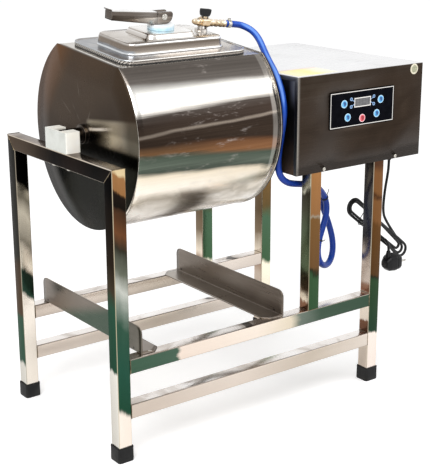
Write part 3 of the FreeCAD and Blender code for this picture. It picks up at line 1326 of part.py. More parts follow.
gland_tip = Vector(plain(gland_x), plain(gland_y), plain(box_floor - gland_drop))
DROP_ROUTE = [(0, 0, -20), (-4, 0, -44), (-9, 0, -70), (-12, 0, -97), (-11, 0, -124), (-5, 0, -154)]
cord_tube("power_cord_drop", [gland_tip] + [gland_tip + Vector(*point) for point in DROP_ROUTE], cord_radius)

hank_left = gland_tip + Vector(-108, 0, -100)
hank_right = gland_tip + Vector(46, 0, -228)
hank_width = 46.0
hank_depth = 15.0
hank_strand = 13.0


def cord_hank(label, start, finish):
    """The folded cord: a long loop of its outer shape, between the middles of its two ends."""
    heading = finish - start
    length = heading.Length
    half = hank_width / 2
    rounds = []
    for radius, depth in ((half, hank_depth), (half - hank_strand, hank_depth + 2)):
        bar = Part.makeBox(length, 2 * radius, depth, Vector(0, -radius, -depth / 2))
        for x in (0, length):
            bar = bar.fuse(Part.makeCylinder(radius, depth, Vector(x, 0, -depth / 2)))
        rounds.append(bar.removeSplitter())
    piece = doc.addObject("Part::Feature", label)
    piece.Shape = rounds[0].cut(rounds[1])
    up = Vector(0, -1, 0)
    side = up.cross(Vector(heading).normalize())
    turn = Rotation(Vector(heading).normalize(), side, up, "XYZ")
    piece.Placement = Placement(start, turn)
    return kept(piece, label)


cord_hank("power_cord_hank", hank_left, hank_right)

plug_middle = gland_tip + Vector(6, -27, -253)
plug = new_body("power_plug")
plug_profile = sketch_on(plug, "XY_Plane")
plug_back = plug_length * 0.45
outline(plug_profile, [(-plug_back, 0), (-plug_back, plug_radius * 0.62), (-plug_back * 0.3, plug_radius * 0.86),
                       (0, plug_radius), (plug_length - plug_back, plug_radius),
                       (plug_length - plug_back, 0)])
revolve(plug, plug_profile)
pin_face = sketch_on(plug, "YZ_Plane", (0, 0, plug_length - plug_back))
for side in (-1, 1):
    circle(pin_face, plug_pin, side * plug_pin_place, 0)
pad(plug, pin_face, plug_pin_length)
plug_neck = sketch_on(plug, "XY_Plane", (-plug_length * 0.3, 0, 0))
circle(plug_neck, cord_radius * 1.7)
pad(plug, plug_neck, plug_radius + 6)
plug.Placement = Placement(plug_middle, Rotation())
kept(plug, "power_plug")

neck_tip = plug_middle + Vector(-plain(plug_length) * 0.3, 0, plain(plug_radius) + 6)
LEAD_ROUTE = [(-9, -20, -204), (-17, -10, -194), (-23, 0, -189)]
lead_points = [neck_tip, neck_tip + Vector(0, 0, 12)] + [gland_tip + Vector(*point) for point in LEAD_ROUTE]
cord_tube("power_cord_lead", lead_points, cord_radius)


# Checking and writing

doc.recompute()
for obj in doc.Objects:
    if "Invalid" in obj.State or "Error" in obj.State:
        raise RuntimeError("%s failed: %s" % (obj.Name, obj.State))
for node in nodes:
    shape = node.Shape
    if shape.isNull() or not shape.isValid() or not shape.Solids:
        raise RuntimeError("%s has no valid solid" % node.Label)
    shape.exportStep(os.path.join("parts", node.Label + ".step"))
print("%d sub-parts" % len(nodes))
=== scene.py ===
import math

import bmesh
import bpy
import numpy as np
from mathutils import Matrix, Vector


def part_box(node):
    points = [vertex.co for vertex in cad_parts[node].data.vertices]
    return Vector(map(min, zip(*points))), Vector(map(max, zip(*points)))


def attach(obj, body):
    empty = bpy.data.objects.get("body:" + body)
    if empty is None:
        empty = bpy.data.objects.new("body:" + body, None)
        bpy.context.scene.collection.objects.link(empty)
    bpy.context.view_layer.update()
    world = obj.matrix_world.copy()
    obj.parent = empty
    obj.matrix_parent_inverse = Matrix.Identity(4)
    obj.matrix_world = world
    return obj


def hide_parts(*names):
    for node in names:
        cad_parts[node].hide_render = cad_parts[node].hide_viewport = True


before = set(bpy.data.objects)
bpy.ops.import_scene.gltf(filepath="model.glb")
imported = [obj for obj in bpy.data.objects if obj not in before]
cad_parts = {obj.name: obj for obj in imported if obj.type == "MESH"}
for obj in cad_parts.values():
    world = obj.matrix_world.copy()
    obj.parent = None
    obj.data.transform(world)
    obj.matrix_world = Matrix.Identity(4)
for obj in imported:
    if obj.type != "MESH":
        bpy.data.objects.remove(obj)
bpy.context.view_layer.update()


# Studio: a pale floor under an even white surround, with one broad lamp over the camera's left
# shoulder and a weaker one on its right. Metal sees the same white that the camera sees.

class Shade:
    """A socket of a shader tree: arithmetic on it adds Math nodes, and make() adds any other node."""

    def __init__(self, tree, socket=None):
        self.tree = tree
        self.socket = socket

    def make(self, kind, settings=None, links=None, out=0):
        """Adds a node: settings and ramp stops first, then a link, value or colour code per socket."""
        node = self.tree.nodes.new("ShaderNode" + kind)
        for name, value in (settings or {}).items():
            if name == "stops":
                stops = node.color_ramp.elements
                while len(stops) < len(value):
                    stops.new(1.0)
                for stop, (place, code) in zip(stops, value):
                    stop.position = float(place)
                    stop.color = colour(code)
            else:
                setattr(node, name, value)
        for name, value in (links or {}).items():
            target = [socket for socket in node.inputs if name in (socket.identifier, socket.name)][0]
            if isinstance(value, Shade):
                self.tree.links.new(value.socket, target)
            else:
                target.default_value = colour(value) if isinstance(value, str) else value
        if isinstance(out, str):
            found = [socket for socket in node.outputs if out in (socket.identifier, socket.name)]
            return Shade(self.tree, found[0])
        return Shade(self.tree, node.outputs[out])

    def math(self, operation, *values):
        names = ("Value", "Value_001", "Value_002")
        return self.make("Math", {"operation": operation}, dict(zip(names, values)))

    def own(self, operation, *others):
        """A Math node whose first value is this one."""
        return self.math(operation, self, *others)

    def __add__(self, other):
        return self.own("ADD", other)

    __radd__ = __add__

    def __sub__(self, other):
        return self.own("SUBTRACT", other)

    def __rsub__(self, other):
        return self.math("SUBTRACT", other, self)

    def __mul__(self, other):
        return self.own("MULTIPLY", other)

    __rmul__ = __mul__

    def __truediv__(self, other):
        return self.own("DIVIDE", other)

    def over(self, low, high):
        """How far this value has come from low to high, kept between 0 and 1."""
        links = {"Value": self, "From Min": low, "From Max": high}
        return self.make("MapRange", {"interpolation_type": "SMOOTHSTEP"}, links)

    def under(self, low, high):
        """How far this value still is from high, as a share of the way from low."""
        return 1 - self.over(low, high)

    def ramp(self, stops, hard=False):
        """A colour for this value, from stops that are written as place and colour code, with commas."""
        pairs = [stop.split() for stop in stops.split(",")]
        shade = self.make("ValToRGB", {"stops": pairs}, {"Fac": self})
        shade.socket.node.color_ramp.interpolation = "LINEAR" if hard else "EASE"
        return shade

    def mixed(self, first, second, kind="MIX"):
        """The first colour where this value is 0, and the second where it is 1."""
        settings = {"data_type": "RGBA", "blend_type": kind}
        return self.make("Mix", settings, {"Factor_Float": self, "A_Color": first, "B_Color": second},
                         "Result_Color")


def colour(code):
    """A colour written as six hexadecimal digits, as the light values that a shader takes."""
    shown = np.array([int(code[place:place + 2], 16) / 255 for place in (0, 2, 4)])
    light = np.where(shown <= 0.04045, shown / 12.92, ((shown + 0.055) / 1.055) ** 2.4)
    return (*light.tolist(), 1.0)


class Finish:
    """A material with one shader: values that never change are set on it, the others are linked."""

    def __init__(self, name, **constants):
        self.material = bpy.data.materials.new(name)
        self.material.use_nodes = True
        self.tree = self.material.node_tree
        self.shader = self.tree.nodes["Principled BSDF"]
        for key, value in constants.items():
            self.shader.inputs[key.replace("_", " ")].default_value = value
        self.start = Shade(self.tree)
        self.place = self.start.make("TexCoord", out="Object")
        self.x, self.y, self.z = self.split(self.place)

    def split(self, vector):
        node = self.start.make("SeparateXYZ", links={"Vector": vector}).socket.node
        return [Shade(self.tree, socket) for socket in node.outputs]

    def facing(self):
        """The three parts of the surface's outward direction."""
        return self.split(self.start.make("NewGeometry", out="Normal"))

    def away(self, *point):
        """How far a place is from a point in millimetres, along x, y and z."""
        return [part * 1000 - at for part, at in zip((self.x, self.y, self.z), point)]

    def noise(self, size, detail=3.0, rough=0.5, warp=0.0):
        """A noise of one scale, of a scale along each axis, or over another vector."""
        vector, scale = (self.place, size) if isinstance(size, (int, float)) else (size, 1.0)
        if isinstance(size, tuple):
            vector = self.start.make("Mapping", links={"Vector": self.place, "Scale": size})
        links = {"Vector": vector, "Scale": scale, "Detail": detail, "Roughness": rough, "Distortion": warp}
        return self.start.make("TexNoise", links=links)

    def bump(self, height, strength, distance=0.001):
        links = {"Height": height, "Strength": strength, "Distance": distance}
        self.give("Normal", self.start.make("Bump", links=links))

    def give(self, socket, value):
        self.tree.links.new(value.socket, self.shader.inputs[socket])


def seen_rays(start):
    """1 for what the camera sees, in a mirror and through glass too, and 0 for the light on things."""
    node = start.make("LightPath").socket.node
    direct, mirrored, through = [Shade(start.tree, node.outputs["Is " + kind + " Ray"])
                                 for kind in ("Camera", "Glossy", "Transmission")]
    return (direct + mirrored + through).over(0, 1)


def added(name, data):
    """A new object in the scene's own collection."""
    made = bpy.data.objects.new(name, data)
    bpy.context.scene.collection.objects.link(made)
    return made


FLOOR_LIFT = 0.3
FLOOR_REACH = 12.0
floor_finish = Finish("studio_floor", Roughness=0.9, Specular_IOR_Level=0.1, Emission_Strength=1.0)
floor_finish.give("Base Color", floor_finish.noise(0.7, 2).mixed("FBFBFB", "FFFFFF"))
floor_light = seen_rays(floor_finish.start).mixed((0, 0, 0, 1), (FLOOR_LIFT, FLOOR_LIFT, FLOOR_LIFT, 1))
floor_finish.give("Emission Color", floor_light)
floor_mesh = bpy.data.meshes.new("studio_floor")
floor_corners = [(x * FLOOR_REACH, y * FLOOR_REACH, 0) for x, y in ((-1, -1), (1, -1), (1, 1), (-1, 1))]
floor_mesh.from_pydata(floor_corners, [], [(0, 1, 2, 3)])
floor_mesh.materials.append(floor_finish.material)
added("studio_floor", floor_mesh)

SURROUND = 0.72
world = bpy.data.worlds.new("studio")
bpy.context.scene.world = world
world.use_nodes = True
surround = world.node_tree.nodes["Background"].inputs
surround["Color"].default_value = (1, 1, 1, 1)
strength = seen_rays(Shade(world.node_tree)) * (1 - SURROUND) + SURROUND
world.node_tree.links.new(strength.socket, surround["Strength"])


def lamp(name, place, target, size, power):
    """A square soft lamp that faces a target."""
    data = bpy.data.lights.new(name, "AREA")
    data.size = size
    data.energy = power
    heading = Vector(target) - Vector(place)
    turn = heading.to_track_quat("-Z", "Y").to_matrix().to_4x4()
    added(name, data).matrix_world = Matrix.Translation(place) @ turn


lamp("key_lamp", (-2.6, -1.9, 3.2), (0, 0, 0.5), 2.4, 95)
lamp("fill_lamp", (2.8, -2.6, 2.2), (0, 0, 0.5), 2.6, 30)

LENS = 88.64
CAMERA_PLACE = (-1.55288, -2.08258, 1.14199)
CAMERA_HEADING = -36.67
CAMERA_DIP = 16.55
CAMERA_ROLL = -0.14
view = bpy.data.cameras.new("camera")
view.lens = LENS
camera = added("camera", view)
camera_stand = Matrix.Translation(CAMERA_PLACE)
for angle, axis in ((CAMERA_HEADING, "Z"), (90 - CAMERA_DIP, "X"), (CAMERA_ROLL, "Z")):
    camera_stand = camera_stand @ Matrix.Rotation(math.radians(angle), 4, axis)
camera.matrix_world = camera_stand
bpy.context.scene.camera = camera
bpy.context.scene.view_settings.view_transform = "Standard"


# Vacuum hose: blue braided PVC, pushed on the valve's barb and on the fitting under the box. It falls
# past the box's corner, crosses under it and hangs in one loose turn, held by two ties.

MM = 0.001


def node_box(node):
    """A CAD node's two corners, in millimetres."""
    return [np.array(corner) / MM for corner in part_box(node)]


DRUM_X = node_box("left_end_disc")[0][0]
AXIS_Y, AXIS_Z = sum(node_box("drum_journal"))[1:] / 2
LEAN = math.radians(6)
VALVE_ALONG = 272.0
VALVE_UP = 218.5
VALVE_DIP = math.radians(7)


def on_drum(along, across, up):
    """Points given along the drum's own axes, which lean to the front, in the machine's frame."""
    along, across, up = np.broadcast_arrays(along, across, up)
    return np.stack([DRUM_X + along,
                     AXIS_Y + math.cos(LEAN) * across - math.sin(LEAN) * up,
                     AXIS_Z + math.sin(LEAN) * across + math.cos(LEAN) * up], axis=-1)


def on_valve(along, across, up):
    """Points given along the valve's own axis, which dips to the drive end."""
    along, across, up = np.broadcast_arrays(along, across, up)
    return on_drum(VALVE_ALONG + math.cos(VALVE_DIP) * along + math.sin(VALVE_DIP) * up, across,
                   VALVE_UP - math.sin(VALVE_DIP) * along + math.cos(VALVE_DIP) * up)


BOX_LOW, BOX_HIGH = node_box("box_cover")


def cord_curve(name, points, radius, finish):
    """A round cord: one open spline that is drawn by its control points."""
    data = bpy.data.curves.new(name, "CURVE")
    data.dimensions = "3D"
    spline = data.splines.new("NURBS")
    spline.points.add(len(points) - 1)
    spline.points.foreach_set("co", np.c_[points * MM, np.ones(len(points))].ravel())
    spline.order_u = 3
    spline.use_endpoint_u = True
    spline.resolution_u = 8
    data.bevel_depth = radius * MM
    data.bevel_resolution = 5
    data.use_fill_caps = True
    data.materials.append(finish.material)
    return added(name, data)


def bends(starts, corners, ends, steps):
    """Points on quadratic curves, each drawn from its start to its end by the corner between them."""
    step = np.linspace(0, 1, steps)[:, None, None]
    curves = (1 - step) ** 2 * starts + 2 * step * (1 - step) * corners + step ** 2 * ends
    return curves.transpose(1, 0, 2).reshape(-1, corners.shape[1])


def spline_run(points, steps=17):
    """Points on the quadratic spline: its curves go from midpoint to midpoint of the control runs."""
    middles = np.vstack([points[:1], (points[1:-2] + points[2:-1]) / 2, points[-1:]])
    return bends(middles[:-1], points[1:-1], middles[1:], steps)


def lay_cord(made, points, radius, slot, far_end, *nodes, **more):
    """Says what a cord rides on and hides the CAD nodes that it stands for."""
    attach(made, "frame_and_box")
    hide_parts(*nodes)
    length = np.linalg.norm(np.diff(spline_run(points), axis=0), axis=1).sum()
    tuple(points[0] * MM)


hose_blue = Finish("hose_blue", Roughness=0.34, Specular_IOR_Level=0.28)
hose_east, hose_north, hose_up = hose_blue.facing()
# Painted light: the hose is painted lighter on its upward faces and its higher runs, with a painted
# highlight on the faces turned up, to the front and to the left.
hose_painted_highlight = (hose_up * 0.45 - hose_east * 0.5 - hose_north * 0.7).over(0.72, 0.96)
hose_painted_light = hose_blue.z.over(0.5, 0.64) * 0.16 + hose_painted_highlight * hose_blue.z.over(0.5, 0.62) * 0.36
hose_blue.give("Base Color", (hose_blue.noise(38) * 0.3 + hose_up * 0.3 + hose_painted_light + 0.2).ramp(
    "0 08246E, 0.4 103C9E, 0.75 2054BE, 1 6A98EA"))
hose_blue.bump(hose_blue.noise(900, 1), 0.12, 0.0004)

HOSE_RADIUS = 7.5
HOSE_START = 102.3
HOSE_ROUTE = [
    (0, 198, 310), (10, 191, 305), (16, 180, 299), (18, 166, 290), (15, 148, 278), (7, 125, 262),
    (-3, 96, 243), (-11, 61, 219), (-13, 37, 183), (-13, 28, 141), (-14, 34, 96), (-14, 44, 51),
    (-13, 48, 16), (-5, 48, -9), (14, 48, -25), (40, 49, -32), (75, 53, -38), (112, 65, -50),
    (142, 77, -68), (165, 88, -90), (177, 93, -116), (174, 93, -142), (160, 89, -167), (145, 84, -194),
    (140, 81, -220), (147, 82, -244), (165, 88, -259), (186, 96, -263), (205, 105, -255),
    (216, 111, -238), (218, 114, -215), (210, 114, -184), (194, 114, -146), (178, 116, -108),
    (166, 116, -74), (156, 113, -47), (156, 113, -26)]
hose_points = np.vstack([on_valve(HOSE_START, 0, 0), on_valve(HOSE_START + 12, 0, 0), BOX_LOW + HOSE_ROUTE])
hose = cord_curve("vacuum_hose_braid", hose_points, HOSE_RADIUS, hose_blue)
lay_cord(hose, hose_points, HOSE_RADIUS, "hose_blue", "object", "vacuum_hose")


# Hose ties: two thin cable ties of black nylon, drawn tight where the hose passes itself under the
# box. Their cut tails stand off.

def loft(rings, closed=False, caps=True):
    """A surface through rings of points, each closed on itself; caps close the first and last."""
    rings = np.asarray(rings)
    rows, count = rings.shape[:2]
    here = np.arange(rows if closed else rows - 1)[:, None] * count
    following = (here + count) % (rows * count)
    column = np.arange(count)
    beside = (column + 1) % count
    quads = np.stack([here + column, here + beside, following + beside, following + column], axis=-1)
    faces = quads.reshape(-1, 4).tolist()
    if caps and not closed:
        faces.append(column[::-1].tolist())
        faces.append((column + (rows - 1) * count).tolist())
    return rings.reshape(-1, 3), faces


def joined(*surfaces):
    """Several surfaces as one: the faces of each are counted on from the points before it."""
    points, faces = [], []
    for surface_points, surface_faces in surfaces:
        start = sum(len(earlier) for earlier in points)
        points.append(surface_points)
        faces += [[start + index for index in face] for face in surface_faces]
    return np.vstack(points), faces


def finished(name, form, finish, body, nodes, crease):
    """Puts a form into a new object, which rides on a body and stands for CAD nodes."""
    mesh = bpy.data.meshes.new(name)
    form.to_mesh(mesh)
    form.free()
    mesh.shade_smooth()
    mesh.set_sharp_from_angle(angle=math.radians(crease))
    mesh.materials.append(finish.material)
    made = added(name, mesh)
    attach(made, body)
    if nodes:
        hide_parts(*nodes)
    return made


def piece(name, surface, finish, body, slot, *nodes, closed=True, crease=40):
    """A piece from a surface's points, in millimetres, and faces; a closed one is faced outward."""
    drawn = bpy.data.meshes.new(name + "_drawn")
    drawn.from_pydata((surface[0] * MM).tolist(), [], surface[1])
    form = bmesh.new()
    form.from_mesh(drawn)
    bpy.data.meshes.remove(drawn)
    bmesh.ops.remove_doubles(form, verts=form.verts, dist=2e-6)
    if closed:
        bmesh.ops.recalc_face_normals(form, faces=form.faces)
    return finished(name, form, finish, body, nodes, crease)


def circle(count):
    """The angles of points at even distances round a circle."""
    return np.arange(count) * 2 * np.pi / count


def swept(path, radius, around=10, closed=False):
    """A round section carried along a path: two directions square to the path turn it round."""
    heading = np.gradient(path, axis=0)
    if closed:
        heading = np.roll(path, -1, axis=0) - np.roll(path, 1, axis=0)
    heading /= np.linalg.norm(heading, axis=1)[:, None]
    side = np.cross(heading, np.eye(3)[np.argmin(np.abs(heading).max(axis=0))])
    side /= np.linalg.norm(side, axis=1)[:, None]
    lift = np.cross(heading, side)
    angle = circle(around)[:, None]
    radius = np.broadcast_to(radius, len(path))[:, None, None]
    rings = path[:, None] + radius * (np.cos(angle) * side[:, None] + np.sin(angle) * lift[:, None])
    return loft(rings, closed=closed)


def grained(name, scale, detail, stops, bump=None, rough=0.5, **constants):
    """A finish whose colour follows one noise, and whose bump, if any, follows the same one."""
    finish = Finish(name, **constants)
    grain = finish.noise(scale, detail, rough)
    finish.give("Base Color", grain.ramp(stops))
    if bump:
        finish.bump(grain, *bump)
    return finish


tie_black = grained("tie_black", 240, 2, "0.2 101214, 0.9 24282B", Roughness=0.45, Specular_IOR_Level=0.3)

TIE_PLACES = [(165, 88, -90), (146, 84, -192)]
TIE_THICK = 0.8
hose_run = spline_run(hose_points)
tail = np.linspace(0, 1, 8)[:, None]
tie_parts = []
for tie_place in BOX_LOW + TIE_PLACES:
    nearest = np.argmin(np.linalg.norm(hose_run - tie_place, axis=1))
    middle = hose_run[nearest]
    heading = hose_run[nearest + 1] - hose_run[nearest - 1]
    heading /= np.linalg.norm(heading)
    side = np.cross(heading, (0, 1, 0))
    side /= np.linalg.norm(side)
    front = np.cross(side, heading)
    angle = circle(28)[:, None]
    hoop = middle + (HOSE_RADIUS + 0.7) * (np.cos(angle) * side + np.sin(angle) * front)
    tie_parts += [swept(hoop + offset * heading, TIE_THICK, closed=True) for offset in (-1.2, 0, 1.2)]
    root = middle + (HOSE_RADIUS + 1) * side
    tie_parts.append(swept(root + tail * (14 * side + 3 * front) + tail ** 2 * (-6 * heading), 0.9))
piece("hose_ties", joined(*tie_parts), tie_black, "frame_and_box", "black_plastic")


# Power cord: a black mains lead that leaves a gland under the box. It is folded into a hank, as it is
# for storage, and a wire tie holds the strands; its plug hangs from the last of them.

cord_black = grained("cord_black", 60, 2, "0.3 0C0C0D, 0.8 1D1D1F", Roughness=0.36, Specular_IOR_Level=0.25)
cord_black.bump(cord_black.noise(700, 1), 0.15, 0.0003)

CORD_RADIUS = 3.25
gland_low, gland_high = node_box("cord_gland")
GLAND_TIP = np.r_[(gland_low + gland_high)[:2] / 2, gland_low[2]]
CORD_DROP = [(0, 0, 0), (0, 0, -20), (-4, 0, -44), (-9, 0, -70), (-12, 0, -97), (-11, 2, -124),
             (-3, 3, -148)]
CORD_LEAD = [(-16, -10, -190), (-16, -22, -198), (-16, -27, -207), (-16, -27, -218)]
HANK_RIGHT = np.array((46.0, 0.0, -228.0))
HANK_LEFT = np.array((-108.0, 0.0, -100.0))
HANK_FOLDS = [(12, 4, 3.4), (20.5, 0, 1), (8.5, -16, -3.4), (14, -1, -1), (17, 8, -2)]
hank_heading = (HANK_RIGHT - HANK_LEFT) / np.linalg.norm(HANK_RIGHT - HANK_LEFT)
hank_side = np.cross((0, 1, 0), hank_heading)


def hank_fold(middle, start, radius, ahead, depth):
    """A half circle in the hank's plane, from one of its sides to the other."""
    angle = np.radians(start + np.linspace(0, 180, 7))[:, None]
    reach = (ahead + radius * np.cos(angle)) * hank_heading + radius * np.sin(angle) * hank_side
    return middle + reach + (0, depth, 0)


# Two long turns and a half: the folds lie at the right and the left end by turns, and the runs between
# them are straight, with points at their quarters.
folds = [hank_fold(HANK_LEFT, 90, *fold) if place % 2 else hank_fold(HANK_RIGHT, -90, *fold)
         for place, fold in enumerate(HANK_FOLDS)]
hank = [folds[0]]
for before, after in zip(folds, folds[1:]):
    hank += [before[-1] + np.array([[1 / 4], [1 / 2], [3 / 4]]) * (after[0] - before[-1]), after]
cord_points = GLAND_TIP + np.vstack([CORD_DROP, *hank, folds[-1][-1] - 22 * hank_heading, CORD_LEAD])
power_cord = cord_curve("power_cord", cord_points, CORD_RADIUS, cord_black)


# Plug: moulded black rubber on the cord's end, with a grip that narrows to a side neck and two round
# steel pins.

def rounded_ring(width, height, radius, steps=6):
    """Points round a rectangle with rounded corners: four quarter circles, counter-clockwise."""
    turn = np.arange(4)[:, None] * np.pi / 2 + np.linspace(0, np.pi / 2, steps)
    x = np.array([1, -1, -1, 1])[:, None] * (width / 2 - radius) + radius * np.cos(turn)
    y = np.array([1, 1, -1, -1])[:, None] * (height / 2 - radius) + radius * np.sin(turn)
    return np.stack([x, y], axis=-1).reshape(-1, 2)


def eased(profile, radius, steps=4):
    """Rounds a profile's corners: each is a short curve from a radius before it to a radius after."""
    points = np.asarray(profile, float)
    corners = points[1:-1]
    turns = []
    for side in (points[:-2] - corners, points[2:] - corners):
        reach = np.linalg.norm(side, axis=1)[:, None]
        turns.append(corners + side / reach * np.minimum(radius, 0.45 * reach))
    return np.vstack([points[:1], bends(turns[0], corners, turns[1], steps), points[-1:]])


def turned(profile, soft, around, place, hollow=False, flats=None, pressed=(0, 0)):
    """A profile of (distance, radius) pairs with its corners eased, turned round its axis and placed;
    a hollow one is closed on its first pair. With flats, the pressed run is cut to a hexagon with
    rounded corners, and no other radius is more than those corners'."""
    points = eased(profile, soft) if soft else np.asarray(profile, float)
    distance, radius = (np.vstack([points, points[:1]]) if hollow else points).T
    angle = circle(around)
    reach = np.broadcast_to(radius[:, None], (len(radius), around))
    if flats:
        to_flat = (angle + np.pi / 6) % (np.pi / 3) - np.pi / 6
        hexagon = np.minimum(flats / np.cos(to_flat), flats * 1.12)
        inside = ((distance > pressed[0]) & (distance < pressed[1]))[:, None]
        reach = np.minimum(reach, np.where(inside, hexagon, flats * 1.12))
    along = np.broadcast_to(distance[:, None], reach.shape)
    return loft(place(along, reach * np.cos(angle), reach * np.sin(angle)))


def standing(axis, x, y, z, sign=1, base=None):
    """Places a turned piece at a point, its own axis along x, y or z of the machine or of another base."""
    def place(along, across, up):
        shifts = {"x": (along, across, up), "y": (across, sign * along, up),
                  "z": (across, up, sign * along)}
        spot = np.broadcast_arrays(*[start + shift for start, shift in zip((x, y, z), shifts[axis])])
        return base(*spot) if base else np.stack(spot, axis=-1)
    return place


plug_black = grained("plug_black", 420, 3, "0.2 0B0B0C, 0.9 1A1A1C", (0.1, 0.0003), Roughness=0.36,
                     Specular_IOR_Level=0.22)
pin_steel = grained("pin_steel", 300, 2, "0.2 A8A49C, 0.9 D8D5CE", Metallic=1.0, Roughness=0.22)

PLUG = GLAND_TIP + (6, -27, -253)
PLUG_FACE = 9.0
PIN_END = PLUG_FACE + 19.0
PIN_ASIDE = 9.5
PIN_RADIUS = 2.4
PLUG_LIFT = 4.5
NECK_BACK = 22.0
PLUG_ROWS = [(-35, 15, 12, 5, 3), (-34, 22, 20, 8, 3), (-24, 32, 38, 11, 4), (-9, 38, 42, 12, 5),
             (-6, 38, 42, 12, 5), (-5.6, 34, 37, 11, PLUG_LIFT), (-3.6, 34, 37, 11, PLUG_LIFT),
             (-3.2, 37, 39, 12, PLUG_LIFT), (6, 36, 38, 12, PLUG_LIFT), (PLUG_FACE, 33, 35, 11, PLUG_LIFT)]
PLUG_NECK = [(14, 9), (23, 7.6), (25, 6.2), (26.5, 6.8), (28, 5.6), (29.5, 6.2), (31, 5), (32.5, 5.5),
             (34.5, 4), (35, 0.1)]
PIN = [(PLUG_FACE - 1, PIN_RADIUS), (PIN_END - 1.5, PIN_RADIUS), (PIN_END, 1.4), (PIN_END, 0.1)]
plug_rings = []
for along, depth, height, corner, lift in eased(PLUG_ROWS, 1.6):
    ring = rounded_ring(depth, height, corner, 8)
    plug_rings.append(np.c_[np.full(len(ring), along), ring[:, 0], ring[:, 1] + lift] + PLUG)
plug_neck = turned(PLUG_NECK, 0.6, 28, standing("z", *(PLUG - (NECK_BACK, 0, 0))))
plug = piece("plug_body", joined(loft(plug_rings), plug_neck), plug_black, "frame_and_box", "black_plastic",
             "power_plug")
pin_places = [standing("x", *(PLUG + (0, aside, PLUG_LIFT))) for aside in (-PIN_ASIDE, PIN_ASIDE)]
pins = piece("plug_pins", joined(*[turned(PIN, None, 20, place) for place in pin_places]), pin_steel,
             "frame_and_box", "fixing_steel")

BOX_FLOOR = node_box("box_chassis")[0][2]
GLAND = [(-0.5, 9.8), (6, 9.8), (6.2, 8.4), (13, 8.2), (14, 6.6), (15, 7), (16, 6), (17, 6.4), (18, 5.4),
         (19, 5.7), (21, 4.2), (21, 3.4)]
gland = turned(GLAND, 0.5, 40, standing("z", *GLAND_TIP[:2], BOX_FLOOR, -1))
piece("cord_strain_relief", gland, plug_black, "frame_and_box", "black_plastic", "cord_gland")

HANK_TIE_ALONG = 42.0
HANK_HALF_WIDTH = 24.0
HANK_HALF_DEPTH = 7.5


def squarish(wave, power):
    """A wave whose crests are flattened: its size goes to a power below 1, and its sign stays."""
    return (np.sign(wave) * np.abs(wave) ** power)[:, None]


tie_middle = GLAND_TIP + HANK_LEFT + HANK_TIE_ALONG * hank_heading
angle = circle(40)
tie_hoop = (tie_middle + HANK_HALF_WIDTH * squarish(np.cos(angle), 0.6) * hank_side
            + HANK_HALF_DEPTH * squarish(np.sin(angle), 0.7) * np.array((0, 1, 0)))
tie_tail = (tie_middle - HANK_HALF_WIDTH * hank_side + tail * (-13 * hank_side - 7 * hank_heading)
            + tail ** 2 * (3 * hank_side - 3 * hank_heading))
hank_tie = piece("hank_tie", joined(swept(tie_hoop, 1.0, closed=True), swept(tie_tail, 2.0)), tie_black,
                 "frame_and_box", "black_plastic")
lay_cord(power_cord, cord_points, CORD_RADIUS, "cord_black", "plug", "power_cord_drop", "power_cord_hank",
         "power_cord_lead", with_pieces=[plug, pins, hank_tie])


# Frame: square stainless tube, polished. The left legs and the bar across them are mitred and welded,
# and the rails are welded between the legs; the posts and right legs carry the control box.

def sized(value):
    return value.own("ABSOLUTE")


def greater(first, second):
    return first.own("MAXIMUM", second)


def painted_reflection_tube(name, stretch, level, edge, tops, fronts, sides, rim=1.0):
    """Mirror polish, painted: each side's colour is a painted reflection of the room as patches with clear
    edges, with lighter tops, a painted highlight on the rounded corners, and scratches along it.
    """
    finish = Finish(name, Metallic=1.0, Specular_Tint=(rim, rim, rim, 1))
    east, north, above = finish.facing()
    scratches = finish.noise(stretch, 4, 0.62)
    clouds = finish.noise(9, 3, 0.55, 0.8)
    place = level(finish) + (clouds - 0.5) * 0.05 + (scratches - 0.5) * 0.03
    body = (east * -1).over(0.4, 0.8).mixed(place.ramp(fronts, hard=True), place.ramp(sides, hard=True))
    whole = above.over(0.4, 0.8).mixed(body, clouds.ramp(tops))
    # The rounded corners are painted towards the edge colour, a painted highlight.
    bend = 1 - greater(greater(sized(east), sized(north)), sized(above))
    corner_highlighted = (bend.over(0.06, 0.2) * 0.75).mixed(whole, edge)
    finish.give("Base Color", (scratches.over(0.35, 0.8) * 0.12).mixed(corner_highlighted, "FFFFFF", "SOFT_LIGHT"))
    finish.give("Roughness", scratches * 0.16 + 0.13)
    finish.bump(clouds, 0.25, 0.004)
    return finish


def leaning(x, slope):
    """Heights whose lines fall to the right, as the painted reflection of the floor's edge does."""
    return lambda finish: finish.z + (finish.x - x) * slope


UPRIGHT = (60, 60, 6)
ALONG = (5, 60, 60)
LEFT_LEAN = leaning(-0.41, 0.9)
RIGHT_LEAN = leaning((node_box("front_middle_post")[0][0] + 16) * MM, 0.24)
# Painted reflections of the room: each tube's tops, fronts and sides get their own bands of grass green,
# brown building and pale sky, and its edge colour is the painted highlight on its corners.
POST_TOP_REFLECTIONS = "0.3 D9D2C8, 0.7 F6F2EC"
RAIL_TOP_REFLECTIONS = "0.3 453C34, 0.34 C9BFB6, 0.5 F0EAE5, 0.8 FDFBF9"
RAIL_SIDE_REFLECTIONS = "0.1 8C8068, 0.4 C9BCA4"

